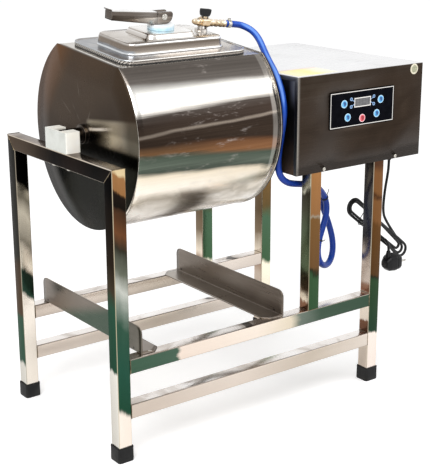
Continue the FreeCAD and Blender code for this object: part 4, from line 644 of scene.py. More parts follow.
left_front_steel = painted_reflection_tube(
    "left_front_steel", UPRIGHT, LEFT_LEAN, "B5A88F", POST_TOP_REFLECTIONS,
    "0 E2D6CA, 0.1 E2D6CA, 0.11 1F4030, 0.2 24483A, 0.3 2E4A3C, 0.34 6F7A70, 0.38 AEB0A8, 0.42 5A5E52,"
    "0.46 2C2A22, 0.5 5E3C26, 0.545 33241A, 0.55 14110E, 0.585 1C1612, 0.59 865F3A, 0.618 8F6640,"
    "0.624 C9B48C",
    "0 C9C5BC, 0.18 D5D1C8, 0.187 1F4030, 0.33 274838, 0.36 3A3226, 0.42 241C14, 0.54 110D0A,"
    "0.58 060505", 0.57)
left_rear_steel = painted_reflection_tube(
    "left_rear_steel", UPRIGHT, LEFT_LEAN, "9A9080", POST_TOP_REFLECTIONS,
    "0 DDD4C8, 0.25 E9E1D6, 0.262 2B4438, 0.315 34493E, 0.322 E6DCCB, 0.345 C9BFAE, 0.38 6E685C,"
    "0.44 A49C8C, 0.48 5E584C, 0.505 8C8474, 0.515 12110F, 0.62 161412",
    "0 C9C5BC, 0.07 CFCBC2, 0.078 2A4A3A, 0.185 2E4C3A, 0.195 4A3826, 0.32 3E3022, 0.34 26251F,"
    "0.6 191714", 0.65)
middle_steel = painted_reflection_tube(
    "middle_steel", UPRIGHT, RIGHT_LEAN, "8C8470", POST_TOP_REFLECTIONS,
    "0 27402E, 0.303 324C32, 0.311 1E2218, 0.318 60452A, 0.434 6C4D2C, 0.441 8A8070, 0.447 845D3A,"
    "0.56 966A40",
    "0 6A4A34, 0.236 7A5640, 0.242 D9CBB5, 0.262 CDBEA8, 0.272 75624C, 0.31 4E5A42, 0.4 46503C,"
    "0.46 3A3A2C, 0.498 2E2A20, 0.504 A9A694, 0.53 8E8C78, 0.545 1E1C18")
right_steel = painted_reflection_tube(
    "right_steel", UPRIGHT, RIGHT_LEAN, "A39A88", POST_TOP_REFLECTIONS,
    "0 E0D2C8, 0.172 E6D9CF, 0.178 22392A, 0.303 2A4029, 0.311 1E2218, 0.318 4A331C, 0.434 56391C,"
    "0.447 6E4A2A, 0.497 6E4A2A, 0.503 3C2516, 0.513 6E4A2A, 0.56 6E4A2C, 0.58 4A3020",
    "0 BFB0A2, 0.165 CDBFB0, 0.175 5E4030, 0.196 6E4E3C, 0.2 DDD0C0, 0.268 E2D6C6, 0.274 7A4E38,"
    "0.29 8A6A58, 0.3 BFB0A4, 0.37 A99C90, 0.41 4E4E52, 0.47 3A3C40, 0.53 4A443C, 0.6 28241F")
rear_steel = painted_reflection_tube(
    "rear_steel", UPRIGHT, RIGHT_LEAN, "A39A88", POST_TOP_REFLECTIONS,
    "0 E9DFC9, 0.235 F1E8D2, 0.245 3E5A40, 0.36 46604A, 0.4 5A4A2E, 0.47 6A5030, 0.56 8A5C34",
    "0 CDBFB0, 0.2 B9A898, 0.24 8A6A54, 0.26 D9CBB8, 0.32 6E5E4A, 0.38 54432F, 0.48 5E4C38,"
    "0.56 4A3E2E")
rail_steel = painted_reflection_tube(
    "rail_steel", ALONG, lambda finish: (finish.x + 0.43) / 0.9 + finish.y * 0.4, "5E5044", RAIL_TOP_REFLECTIONS,
    "0 BBAEA2, 0.25 CCC0B5, 0.5 B7AB9D, 0.75 D1C6BC, 1 BAADA1", RAIL_SIDE_REFLECTIONS)
upper_rail_steel = painted_reflection_tube(
    "upper_rail_steel", ALONG, lambda finish: (finish.x + 0.43) / 0.9, "5E5044", RAIL_TOP_REFLECTIONS,
    "0 36503F, 0.168 445A4C, 0.178 D8C8BB, 0.4 E0D3C6, 0.52 CFC3AE, 0.55 667066, 0.62 3E4F42, 1 2C4434",
    RAIL_SIDE_REFLECTIONS)
bar_steel = painted_reflection_tube(
    "bar_steel", (60, 5, 60), lambda finish: finish.y + 0.5, "E6D9C6",
    "0.3 83766C, 0.5 B5A89E, 0.7 E6DED6", "0.27 8F6A40, 0.75 E3D3B0",
    "0.27 140F0C, 0.34 060504, 0.42 1A110C, 0.5 0C0908, 0.56 2B221B, 0.64 4A3E33, 0.72 54473B,"
    "0.74 2A2420", 0.62)

TUBE = 32.0
TUBE_CORNER = 3.0


def tube_rings(node, axis, ring, low_tilt, high_tilt):
    """The first and last ring of a tube; a tilt of 1 or -1 cuts its end at 45 degrees."""
    low, high = node_box(node)
    first, second = [other for other in range(3) if other != axis]
    rings = np.empty((2, len(ring), 3))
    rings[..., first] = (low + high)[first] / 2 + ring[:, 0]
    rings[..., second] = (low + high)[second] / 2 + ring[:, 1]
    rings[0, :, axis] = low[axis] + abs(low_tilt) * TUBE / 2 + low_tilt * ring[:, 1]
    rings[1, :, axis] = high[axis] - abs(high_tilt) * TUBE / 2 + high_tilt * ring[:, 1]
    return rings


tube_ring = rounded_ring(TUBE, TUBE, TUBE_CORNER)
TUBES = [("left_front_leg", 2, 0, -1, left_front_steel), ("left_rear_leg", 2, 0, 1, left_rear_steel),
         ("right_front_leg", 2, 0, 0, right_steel), ("right_rear_leg", 2, 0, 0, rear_steel),
         ("front_middle_post", 2, 0, 0, middle_steel), ("rear_middle_post", 2, 0, 0, rear_steel),
         ("drum_end_bar", 1, -1, 1, bar_steel), ("lower_front_rail", 0, 0, 0, rail_steel),
         ("lower_rear_rail", 0, 0, 0, rail_steel), ("upper_front_rail", 0, 0, 0, upper_rail_steel),
         ("upper_rear_rail", 0, 0, 0, rail_steel)]
for node, axis, low_tilt, high_tilt, finish in TUBES:
    rings = tube_rings(node, axis, tube_ring, low_tilt, high_tilt)
    piece(node + "_tube", loft(rings), finish, "frame_and_box", "frame_steel", node)


# Weld beads: the seams where the tubes meet, ground down but still seen as thin rippled lines with
# heat colour beside them.

weld_gold = grained("weld_gold", 120, 3, "0.2 2E261E, 0.5 6E604C, 0.8 B9A888", (0.4, 0.0006), Metallic=1.0,
                    Roughness=0.32)

BEAD = 0.8
SEAM_POINTS = 96


def evenly(ring, count):
    """Points at even distances round a closed ring."""
    around = np.vstack([ring, ring[:1]])
    distance = np.r_[0, np.cumsum(np.linalg.norm(np.diff(around, axis=0), axis=1))]
    wanted = np.linspace(0, distance[-1], count, endpoint=False)
    return np.stack([np.interp(wanted, distance, part) for part in around.T], axis=-1)


seams = []
for node, axis, low_tilt, high_tilt, finish in TUBES:
    rings = tube_rings(node, axis, evenly(tube_ring, SEAM_POINTS), low_tilt, high_tilt)
    if axis < 2:
        seams += [rings[0], rings[1]]
    elif "post" in node:
        seams.append(rings[0])
ripple = BEAD * (1 + 0.22 * np.sin(np.arange(SEAM_POINTS) * 2 * np.pi / 4))
piece("frame_welds", joined(*[swept(seam, ripple, 8, closed=True) for seam in seams]), weld_gold,
      "frame_and_box", "frame_steel")


# Rubber feet: four caps, moulded from black rubber and pushed over the ends of the legs. Each has a
# thin lip round its top.

foot_rubber = Finish("foot_rubber", Roughness=0.6, Specular_IOR_Level=0.25)
# Darker and lighter at random, and lighter towards the bottom.
foot_tone = foot_rubber.noise(45, 4) * 0.7 + foot_rubber.z.under(0.0, 0.03) * 0.2
foot_rubber.give("Base Color", foot_tone.ramp("0.3 0D0D0E, 0.85 2B2A29"))
foot_rubber.bump(foot_rubber.noise(500, 2), 0.3, 0.0005)

FOOT = 38.0
FOOT_HEIGHT = 33.0


def stacked(rows, place, steps=6, caps=True):
    """A surface through rounded rectangles: each row gives width, depth, corner radius and height."""
    rings = []
    for width, depth, corner, height in rows:
        ring = rounded_ring(width, depth, corner, steps)
        rings.append(place(height, ring[:, 0], ring[:, 1]))
    return loft(rings, caps=caps)


foot_rows = eased([(0, 30, 4), (0, FOOT - 0.8, 6), (5, FOOT, 6), (FOOT_HEIGHT - 4, FOOT - 0.4, 6),
                   (FOOT_HEIGHT - 3, FOOT, 6), (FOOT_HEIGHT, FOOT - 0.2, 6),
                   (FOOT_HEIGHT, TUBE + 0.2, TUBE_CORNER), (6.0, TUBE + 0.2, TUBE_CORNER)], 0.8)
foot_rows = [(width, width, corner, height) for height, width, corner in foot_rows]
feet = [stacked(foot_rows, standing("z", *sum(node_box(leg))[:2] / 2, 0))
        for leg in ("left_front_leg", "left_rear_leg", "right_front_leg", "right_rear_leg")]
piece("foot_caps", joined(*feet), foot_rubber, "frame_and_box", "foot_rubber", "rubber_feet")


# Tray brackets: folded stainless plates across the upper rails, with rounded upper corners and
# clipped feet, each held by two countersunk screws.

BRACKET_LOW, BRACKET_HIGH = node_box("right_tray_bracket")
BRACKET_CORNER = 16.0
BRACKET_CLIP = 18.0
BRACKET_SHEET = 2.0
BRACKET_BEND = 3.5

bracket_steel = Finish("bracket_steel", Metallic=0.9)
bracket_grain = bracket_steel.noise((12, 15, 180), 4, 0.6)
bracket_cloud = bracket_steel.noise(9, 3)
bracket_east, _, bracket_above = bracket_steel.facing()
_, bracket_run, bracket_rise = bracket_steel.away(0, BRACKET_HIGH[1], BRACKET_LOW[2])
bracket_run = bracket_run * -1 / (BRACKET_HIGH[1] - BRACKET_LOW[1])
bracket_rise = bracket_rise / (BRACKET_HIGH[2] - BRACKET_LOW[2])
# A painted reflection of the grass: the left bracket's outer face turns green towards its front and lower
# down.
green_reflection_share = (bracket_run - bracket_rise * 0.45).over(0.08, 0.34)
green_reflection_share = green_reflection_share * (1 - bracket_run.over(0.8, 0.92) * 0.75)
green_reflection_share = green_reflection_share * (bracket_east * -1).over(0.3, 0.8) * bracket_steel.x.under(-0.2, -0.15)
bracket_tone = bracket_grain * 0.35 + bracket_cloud * 0.45 + bracket_steel.y.over(-0.2, 0.2) * 0.25
bracket_plate = bracket_tone.ramp("0.2 554C44, 0.55 6E655C, 0.9 8A8077")
bracket_plate = (green_reflection_share * 0.85).mixed(bracket_plate, "23402F")
# Painted reflection: the upward-facing feet are painted lighter than the uprights.
bracket_foot = bracket_tone.ramp("0.2 857B72, 0.9 BDB5AB")
bracket_both = bracket_above.over(0.4, 0.9).mixed(bracket_plate, bracket_foot)
# The holes in the uprights are not cut: each is painted as a dark spot of shade.
for hole_y in (BRACKET_LOW[1] + 31, BRACKET_HIGH[1] - 20):
    _, hole_across, hole_up = bracket_steel.away(0, hole_y, BRACKET_LOW[2] + 7)
    hole_shade = (hole_across * hole_across + hole_up * hole_up).under(4.5, 8)
    bracket_both = hole_shade.mixed(bracket_both, "0D0B0A")
bracket_steel.give("Base Color", bracket_both)
bracket_steel.give("Roughness", bracket_grain * 0.2 + 0.2)
bracket_steel.bump(bracket_cloud, 0.2, 0.003)


def bracket_sheet(node, hand):
    """A bent strip: across it goes the fold's profile, and along it the ends follow its corners."""
    low, high = node_box(node)
    upright = low[0] if hand > 0 else high[0]
    foot = high[0] - low[0]
    height = high[2] - low[2]
    fold = eased([(foot, 0), (0, 0), (0, height)], BRACKET_BEND, 7)
    leg = np.linspace(fold[0], fold[1], 14, endpoint=False)
    wall = np.linspace(fold[-2], fold[-1], 30)
    profile = np.vstack([leg, fold[1:-2], wall])
    clip = np.maximum(BRACKET_CLIP - (foot - profile[:, 0]), 0)
    rise = np.maximum(profile[:, 1] - (height - BRACKET_CORNER), 0)
    inset = clip + BRACKET_CORNER - np.sqrt(np.maximum(BRACKET_CORNER ** 2 - rise ** 2, 0))
    y = low[1] + inset + np.linspace(0, 1, 30)[:, None] * (high[1] - low[1] - 2 * inset)
    x = np.broadcast_to(upright + hand * profile[:, 0], y.shape)
    z = np.broadcast_to(low[2] + profile[:, 1], y.shape)
    return np.stack([x, y, z], axis=-1)


def sheet(grid):
    """The faces of an open grid of points."""
    rows, count = grid.shape[:2]
    here = (np.arange(rows - 1)[:, None] * count + np.arange(count - 1)).ravel()
    return grid.reshape(-1, 3), np.stack([here, here + 1, here + count + 1, here + count], axis=-1).tolist()


def thicken(made, thickness):
    """Gives a sheet its thickness, under the side that is drawn."""
    solid = made.modifiers.new("sheet", "SOLIDIFY")
    solid.thickness = thickness * MM
    solid.offset = -1.0
    solid.use_even_offset = True


for node, hand in (("left_tray_bracket", 1), ("right_tray_bracket", -1)):
    points, faces = sheet(bracket_sheet(node, hand))
    plate = piece(node + "_plate", (points, [face[::hand] for face in faces]), bracket_steel,
                  "frame_and_box", "bracket_steel", node, closed=False)
    thicken(plate, BRACKET_SHEET)


# Bracket screws: small stainless countersunk screws. Their heads are flush with the brackets' feet, and
# each has a ring pressed into it.

screw_steel = grained("screw_steel", 400, 2, "0.2 8F8A80, 0.9 E4E0D8", Metallic=1.0, Roughness=0.25)

SUNK_RADIUS = 4.1
SUNK_HEAD = [(0.05, 0.1), (0.05, 1), (-0.7, 1.2), (-0.7, 1.8), (0.05, 2), (0.05, SUNK_RADIUS),
             (-1.4, SUNK_RADIUS - 1.4)]
bracket_screws = []
for node in ("left_tray_bracket", "right_tray_bracket"):
    low, high = node_box(node)
    for leg in ("left_front_leg", "left_rear_leg"):
        place = ((low[0] + high[0]) / 2, sum(node_box(leg))[1] / 2, low[2] + BRACKET_SHEET)
        bracket_screws.append(turned(SUNK_HEAD, None, 28, standing("z", *place)))
piece("bracket_screw_heads", joined(*bracket_screws), screw_steel, "frame_and_box", "fixing_steel",
      "bracket_screws", closed=False)


# Bearing block: white plastic, milled, with an open pocket in which the drum's journal lies. Two bolts
# from under the bar hold it.

block_white = Finish("block_white", Roughness=0.42)
block_cloud = block_white.noise(30, 4)
# Painted light: faces turned to the left are painted warm white, and the other faces a darker, cooler grey
# as their shaded side.
block_white.give("Base Color", (block_white.facing()[0] * -1).over(0.3, 0.9).mixed(
    block_cloud.ramp("0.25 FFFBEF, 0.75 FFFFFA"), block_cloud.ramp("0.25 BFC1BA, 0.75 D2D4CE")))
block_white.bump(block_white.noise(320, 2), 0.12, 0.0004)

SOFT_CREASE = 30


def softened(node, width, finish, body, ending="_soft"):
    """A copy of a CAD node, with its small facets merged and its edges rounded."""
    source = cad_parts[node]
    form = bmesh.new()
    form.from_mesh(source.data)
    form.transform(source.matrix_world)
    bmesh.ops.remove_doubles(form, verts=form.verts, dist=1e-5)
    bmesh.ops.dissolve_limit(form, angle_limit=math.radians(2), verts=form.verts, edges=form.edges)
    bmesh.ops.recalc_face_normals(form, faces=form.faces)
    made = finished(node + ending, form, finish, body, [node], SOFT_CREASE)
    edge = made.modifiers.new("soft_edges", "BEVEL")
    edge.width = width * MM
    edge.segments = 3
    edge.limit_method = "ANGLE"
    edge.angle_limit = math.radians(SOFT_CREASE)
    edge.harden_normals = True


softened("bearing_block", 1.4, block_white, "frame_and_box")
softened("bearing_bolts", 0.4, screw_steel, "frame_and_box")


# Drum shell: rolled and polished stainless sheet with a flat, into which the mouth is cut. Its colour
# is painted with the room's reflections, as bands that run along the drum, and its flat is painted lighter.

SHELL_RADIUS = 205.0
SHELL_FLAT = 166.0
SHELL_WALL = 2.0
DISC_WALL = 3.0
DISC_LIP = 1.0
DRUM_LENGTH = 371.0
LID_PLACE = 182.5
MOUTH = (250, 160, 28)
LONG_STEPS = 24
SHORT_STEPS = 12


def line_at(value, place, half, soft=0.35):
    """How much of a line covers this place: 1 within half a width of it, and 0 beyond."""
    return sized(value - place).under(half - soft, half + soft)


shell_steel = Finish("shell_steel", Metallic=1.0)
shell_x, shell_y, shell_z = shell_steel.away(DRUM_X, AXIS_Y, AXIS_Z)
shell_turn = shell_z.own("ARCTAN2", shell_y * -1) * (180 / math.pi)
shell_along = shell_x / DRUM_LENGTH
wobble = shell_steel.noise((5, 9, 9), 3, 0.55)
ripples = shell_steel.noise((2, 26, 26), 4, 0.6)
brushed = shell_steel.noise((3, 330, 330), 3, 0.7)
crumple = shell_steel.noise((6, 8, 8), 4, 0.6, 1.6)
below = shell_turn.under(-46, -16)
edge_drift = shell_turn.over(10, 16) * shell_turn.under(24, 32)
drift = shell_along * (shell_turn.under(-10, 16) * 8 + shell_turn.over(24, 36) * 4 - edge_drift * 4)
# Painted reflections: the bands are the room seen in the polish, their edges wobbled and, low down, crumpled
# by noise.
band = (shell_turn + drift + (wobble - 0.5) * 4 + (ripples - 0.5) * 3 + (brushed - 0.5) * 3 + 80) / 140
bands = (band + (crumple - 0.5) * 0.34 * below).ramp(
    "0 A89F95, 0.09 DDD6CC, 0.16 8E857C, 0.23 E9E2D8, 0.31 B9AF9F, 0.37 EDE4D5, 0.45 D4C6B0,"
    "0.473 3C433B, 0.5 4E564C, 0.53 40493F, 0.546 403F34, 0.552 5E432C, 0.572 4C3828, 0.584 2A211B,"
    "0.628 362C25, 0.66 2E2621, 0.688 3A3430, 0.71 B9B4AD, 0.725 F9F8F4, 0.785 F2F0EA, 0.835 66605B,"
    "0.9 544E49, 1 6A645E", hard=True)
# A painted highlight line, and a copper band that is a painted reflection of the brown building.
shine_line = line_at(shell_turn + (wobble - 0.5) * 4 - shell_along * 4.4 + 2.6, 8.9, 0.8, 0.7)
bands = (shine_line * 0.6).mixed(bands, "8F8377")
copper_reflection_share = shell_along.over(0.15, 0.8) * line_at(shell_turn + drift, -1.4, 3.4, 1.4)
bands = (copper_reflection_share * 0.5).mixed(bands, "83583A")
scuffs = shell_steel.noise((16, 50, 50), 6, 0.72, 0.4).over(0.55, 0.75)
middle_share = shell_along.over(0.15, 0.4) * shell_along.under(0.6, 0.85)
marked = (scuffs * (middle_share * 0.4 + 0.1)).mixed(bands, "B9B0AA")
streaked = (brushed.over(0.3, 0.7) * 0.4).mixed(marked, "FFFFFF", "SOFT_LIGHT")
seamed = (shell_along.over(0.925, 0.935) * 0.16).mixed(streaked, "EDE8E0")
# The flat faces up and is painted lighter, a painted reflection.
flat_reflection = (wobble * 0.6 + ripples * 0.4).ramp("0.3 BDB7AF, 0.7 EFECE7")
shell_steel.give("Base Color", shell_steel.facing()[2].over(0.86, 0.95).mixed(seamed, flat_reflection))
shell_steel.give("Roughness", brushed * 0.14 + 0.16)
shell_steel.bump(wobble * 0.8 + brushed * 0.05, 0.12, 0.004)


def square_ring(long_steps, short_steps):
    """Points round a square that reaches from -1 to 1, evenly along each side."""
    level = np.linspace(-1, 1, long_steps, endpoint=False)
    upright = np.linspace(-1, 1, short_steps, endpoint=False)
    return np.vstack([np.c_[level, -np.ones(long_steps)], np.c_[np.ones(short_steps), upright],
                      np.c_[-level, np.ones(long_steps)], np.c_[-np.ones(short_steps), -upright]])


def rounded_off(points, width, height, radius):
    """Rounds a rectangle of points: each is set at the radius from a smaller rectangle inside."""
    reach = np.array((width / 2 - radius, height / 2 - radius))
    core = np.clip(points, -reach, reach)
    out = points - core
    return core + radius * out / np.linalg.norm(out, axis=1)[:, None]


half_opening = math.acos(SHELL_FLAT / SHELL_RADIUS)
turn = np.linspace(half_opening, 2 * np.pi - half_opening, 121)
along = np.linspace(DISC_WALL, DRUM_LENGTH - DISC_WALL, LONG_STEPS + 1)
round_part = sheet(on_drum(along[:, None], SHELL_RADIUS * np.sin(turn), SHELL_RADIUS * np.cos(turn)))
square = square_ring(LONG_STEPS, SHORT_STEPS)
half_size = ((DRUM_LENGTH - 2 * DISC_WALL) / 2, SHELL_RADIUS * math.sin(half_opening))
outer = square * half_size + (DRUM_LENGTH / 2, 0)
mouth_edge = rounded_off(square * (MOUTH[0] / 2, MOUTH[1] / 2), *MOUTH) + (LID_PLACE, 0)
flat_rows = outer + np.linspace(0, 1, 5)[:, None, None] * (mouth_edge - outer)
flat_part = loft(on_drum(flat_rows[..., 0], flat_rows[..., 1], SHELL_FLAT), caps=False)
thicken(piece("drum_shell_sheet", joined(round_part, flat_part), shell_steel, "drum", "drum_steel",
              "drum_shell", crease=25), SHELL_WALL)


# Drum's end discs: thick polished plate, welded in at the shell's ends. The left one's colour is a painted
# soft reflection of the dark room and the frame, with painted light and shade by its hub, and fine scratches
# round its hub.

def reach_of(first, second):
    """The distance that two parts make together."""
    return (first * first + second * second).own("SQRT")


disc_steel = Finish("disc_steel", Metallic=1.0, Specular_Tint=(0.76, 0.76, 0.76, 1))
disc_y, disc_z = [part / SHELL_RADIUS for part in disc_steel.away(DRUM_X, AXIS_Y, AXIS_Z)[1:]]
disc_cloud = disc_steel.noise(6, 4, 0.55, 0.4)
# Painted reflections: dark below, brown above, with a warm streak along the upper left edge and a dark left
# rim.
disc_tone = (disc_z * 0.5 + disc_y * 0.12 + (disc_cloud - 0.5) * 0.5 + 0.5).ramp(
    "0.08 191A14, 0.36 1F1F19, 0.46 382E25, 0.72 43372C, 0.95 4C3D30")
disc_tone = ((disc_y + disc_z * 0.8).over(0.75, 1.25) * 0.6).mixed(disc_tone, "7B5230")
left_edge = (disc_y + (disc_z * -1).over(0, 1) * 0.42).over(0.76, 0.86) * 0.35
disc_tone = left_edge.mixed(disc_tone, "2A1E14")
# Painted shade beside the hub, and to its right a painted wedge of reflected light.
hub_shade = disc_y.over(-0.42, -0.14) * disc_y.under(0.05, 0.2) * disc_z.under(0.02, 0.08)
shine_span = (disc_z + disc_y * 0.117).under(0.12, 0.17) * disc_z.over(-0.1, -0.05)
shine_reach = disc_y.under(-0.12, -0.02) * (1 - (disc_y * -1).over(0.52, 0.88) * 0.85)
disc_shine = shine_span * shine_reach * (1 - hub_shade) * (0.95 - disc_z.over(0.04, 0.1) * 0.4)
disc_tone = disc_shine.mixed(disc_tone, "C6BAA4")
# A painted glint; it is also made less metallic, so that it shows brighter.
glint = line_at(disc_z + disc_y * 0.153, 0.045, 0.016, 0.01) * (disc_y * -1).under(0.3, 0.6)
glint = glint * disc_y.under(-0.12, -0.06) * 0.9
disc_tone = glint.mixed(disc_tone, "FFF4E4")
# A painted dark reflection under the wedge, and the painted shade by the hub.
under_shine = disc_z.under(-0.13, -0.05) * disc_y.under(0.1, 0.6) * 0.5
disc_tone = greater(under_shine, hub_shade * 0.8).mixed(disc_tone, "14130F")
star_reach = reach_of(disc_y, disc_z)
star_links = {"X": disc_z.own("ARCTAN2", disc_y) * 9, "Y": star_reach * 1.4}
star = disc_steel.noise(disc_steel.start.make("CombineXYZ", links=star_links), 3, 0.6).over(0.6, 0.78)
star = star * star_reach.over(0.12, 0.2) * star_reach.under(0.34, 0.62)
disc_tone = (star * (disc_y + disc_z).over(-0.2, 0.3) * 0.65).mixed(disc_tone, "BFB7AC")
disc_grain = disc_steel.noise(260, 4, 0.65)
disc_steel.give("Base Color", (disc_grain.over(0.5, 0.8) * 0.02).mixed(disc_tone, "C8C2B8"))
disc_steel.give("Roughness", disc_cloud * 0.1 + disc_grain * 0.04 + 0.2)
disc_steel.give("Metallic", 1 - glint * 0.6)
disc_steel.bump(disc_cloud, 0.1, 0.003)

ARC_STEPS = 160
FLAT_STEPS = 40


def cut_circle_ring(along, inset):
    """A section of the drum at a place along it: a circle that its flat cuts off."""
    radius = SHELL_RADIUS + DISC_LIP - inset
    flat = SHELL_FLAT + DISC_LIP - inset
    half = math.acos(flat / radius)
    turn = np.linspace(half, 2 * np.pi - half, ARC_STEPS)
    chord = np.linspace(-1, 1, FLAT_STEPS)[1:-1] * radius * math.sin(half)
    across = np.r_[radius * np.sin(turn), chord]
    return on_drum(along, across, np.r_[radius * np.cos(turn), np.full(len(chord), flat)])


DISC_EDGE = 0.5
CAP_INSET = 60.0
for node, near_end, far_end in (("left_end_disc", 0.0, DISC_WALL),
                                ("right_end_disc", DRUM_LENGTH, DRUM_LENGTH - DISC_WALL)):
    inward = near_end + math.copysign(DISC_EDGE, far_end - near_end)
    rows = ((near_end, CAP_INSET), (near_end, DISC_EDGE), (inward, 0), (far_end, 0), (far_end, CAP_INSET))
    piece(node + "_plate", loft([cut_circle_ring(*row) for row in rows]), disc_steel, "drum", "drum_steel",
          node, crease=50)

seam_steel = grained("seam_steel", 90, 3, "0.25 A79F95, 0.5 DCD6CD, 0.85 F7F3EC", Metallic=1.0,
                     Roughness=0.28)
drum_seams = [swept(cut_circle_ring(place, DISC_LIP - 0.1), 0.6, 8, closed=True)
              for place in (DISC_WALL + 0.4, DRUM_LENGTH - DISC_WALL - 0.4)]
piece("drum_seams", joined(*drum_seams), seam_steel, "drum", "drum_steel")


# Hub and journal: a turned ring, welded to the left disc, and the polished journal in it that lies in
# the bearing block. The drive end has a slotted coupling.

hub_steel = Finish("hub_steel", Metallic=1.0)
hub_rings = hub_steel.noise((900, 8, 8), 2)
hub_steel.give("Base Color", hub_rings.ramp("0.3 1C1815, 0.5 39322C, 0.75 857B70"))
hub_steel.give("Roughness", hub_rings * 0.15 + 0.16)

HUB = [(1, 21.4), (-0.4, 21.2), (-1, 20.6), (-9, 20.9), (-10, 19.9), (-10, 15.8), (-10.6, 15),
       (-62.4, 15), (-64, 13.2), (-64, 6), (-62.5, 4), (-62.5, 0.05)]
piece("drum_hub", turned(HUB, 0.6, 64, on_drum), hub_steel, "drum", "drum_steel", "drum_journal")
softened("drum_coupling", 0.6, hub_steel, "drum")
softened("drive_shaft", 0.6, hub_steel, "drum")
softened("drum_paddles", 0.5, seam_steel, "drum")


# Lid gasket: a frame of grey silicone, moulded with ribs round its edge and glued under the lid. It
# seals on the drum's flat.

def on_axes(finish):
    """A place along the drum's own axes, in millimetres."""
    x, y, z = finish.away(DRUM_X, AXIS_Y, AXIS_Z)
    return (x, y * math.cos(LEAN) + z * math.sin(LEAN), z * math.cos(LEAN) - y * math.sin(LEAN))


RIB_PITCH = 6.9
gasket_grey = Finish("gasket_grey", Roughness=0.55)
_, gasket_across, gasket_level = on_axes(gasket_grey)
# The bottom band is painted dark as the shadow in the gap on the drum's flat, and a band near the top is
# painted darker too.
gasket_tone = ((gasket_level - 166) / 8 + (gasket_grey.noise(160, 3) - 0.5) * 0.2).ramp(
    "0 0E0B0A, 0.26 120F0D, 0.34 8E8780, 0.62 A39B93, 0.74 3A332E, 0.9 5A524B", hard=True)
# On the ends, the ribs get painted shade and light as slanted dark and light stripes.
rib_shade_stripes = ((gasket_across + gasket_level) * (2 * math.pi / RIB_PITCH)).own("SINE").over(-0.35, 0.35)
gasket_end = sized(gasket_grey.facing()[0]).over(0.4, 0.8) * gasket_level.over(167.4, 168.4)
gasket_grey.give("Base Color", (gasket_end * 0.95).mixed(gasket_tone, rib_shade_stripes.mixed("26211D", "D2CDC6")))

GASKET = (317, 224, 33)
GASKET_RIM = 26.0
GASKET_HEIGHT = 8.0
RIB_POINTS = 1800
outside = evenly(rounded_ring(*GASKET, steps=40), RIB_POINTS)
inside = evenly(rounded_ring(GASKET[0] - 2 * GASKET_RIM, GASKET[1] - 2 * GASKET_RIM, GASKET[2] / 2, 40),
                RIB_POINTS)
outward = outside - np.roll(outside, 4, axis=0)
outward = np.c_[outward[:, 1], -outward[:, 0]] / np.linalg.norm(outward, axis=1)[:, None]
ribbed = outside + (0.6 * np.cos(np.arange(RIB_POINTS) * 2 * np.pi / 12) - 1.0)[:, None] * outward
edge = outside - 0.9 * outward
gasket_rows = [(inside, 0), (edge, 0), (ribbed, 1.2), (ribbed, GASKET_HEIGHT - 1.2), (edge, GASKET_HEIGHT),
               (inside, GASKET_HEIGHT)]
gasket_rings = [on_drum(LID_PLACE + ring[:, 0], ring[:, 1], SHELL_FLAT + height)
                for ring, height in gasket_rows]
piece("lid_gasket_ribbed", loft(gasket_rings, closed=True), gasket_grey, "lid", "gasket_rubber",
      "lid_gasket")


# Lid: a pan drawn from polished stainless sheet, with a raised block and a low step on it, and its rim
# turned down over the gasket.

lid_steel = Finish("lid_steel", Metallic=1.0)
lid_east, lid_north, lid_above = lid_steel.facing()
lid_along, _, lid_level = on_axes(lid_steel)
lid_up = lid_above * math.cos(LEAN) - lid_north * math.sin(LEAN)
# The lid's colours are painted reflections and painted highlights: a lighter top that is darker on its left
# part, and banded front and left walls.
lid_cloud = lid_steel.noise(16, 4, 0.55, 0.8)
lid_streak = lid_steel.noise((7, 90, 160), 3, 0.6)
lid_shade = lid_cloud * 0.75 + lid_streak * 0.25
lid_left_share = ((lid_along - LID_PLACE) / 110).under(-0.95, -0.1)
lid_top = (lid_shade - lid_left_share * 0.2).ramp("0.12 988D82, 0.32 CBC4BC, 0.5 F1EEEA, 0.75 FFFFFF")
lid_front = ((lid_level - 176) / 22 + (lid_streak - 0.5) * 0.12).ramp(
    "0 F4F0EA, 0.14 E9E4DD, 0.22 A99F95, 0.45 8A8077, 0.72 6E645A, 0.84 8E857B, 0.92 FBFAF8")
lid_left = ((lid_level - 176) / 22 + (lid_cloud - 0.5) * 0.5).ramp(
    "0 C2C7CC, 0.2 A3A6AA, 0.4 857A70, 0.8 7A6E62, 1 A89D92")
lid_facing_left = (lid_east * -1).over(0.2, 0.6)
# A painted highlight on the top fillets, then a painted dark line.
lid_fillet_highlight = lid_up.ramp("0.3 FFFFFF, 0.76 FFFFFF, 0.86 7A7067, 0.96 6A6057", hard=True)
lid_fillet = (lid_facing_left * 0.75).mixed(lid_fillet_highlight, lid_left)
lid_flange = (lid_shade - lid_left_share * 0.25).ramp("0.2 8B8D91, 0.5 CFC9C2, 0.75 E6E1DB")
lid_shaped = lid_up.over(0.965, 0.99).mixed(lid_fillet, lid_level.over(184, 188).mixed(lid_flange, lid_top))
# The boss: a painted dark line at its foot, lighter walls, and a painted highlight and dark line at its
# edge.
lid_boss = ((lid_level - 198) / 11).ramp(
    "0 857C73, 0.15 C4BEB7, 0.6 DCD7D2, 0.74 F4F2EF, 0.84 A89F96, 0.97 C9C2BB", hard=True)
lid_high = lid_level.over(198.3, 198.9) * lid_up.under(0.985, 0.995)
lid_main = lid_up.over(0.12, 0.35).mixed(lid_facing_left.mixed(lid_front, lid_left), lid_shaped)
lid_steel.give("Base Color", (lid_high * 0.85).mixed(lid_main, lid_boss))
lid_steel.give("Roughness", lid_streak * 0.12 + 0.16)
lid_steel.bump(lid_cloud, 0.15, 0.003)

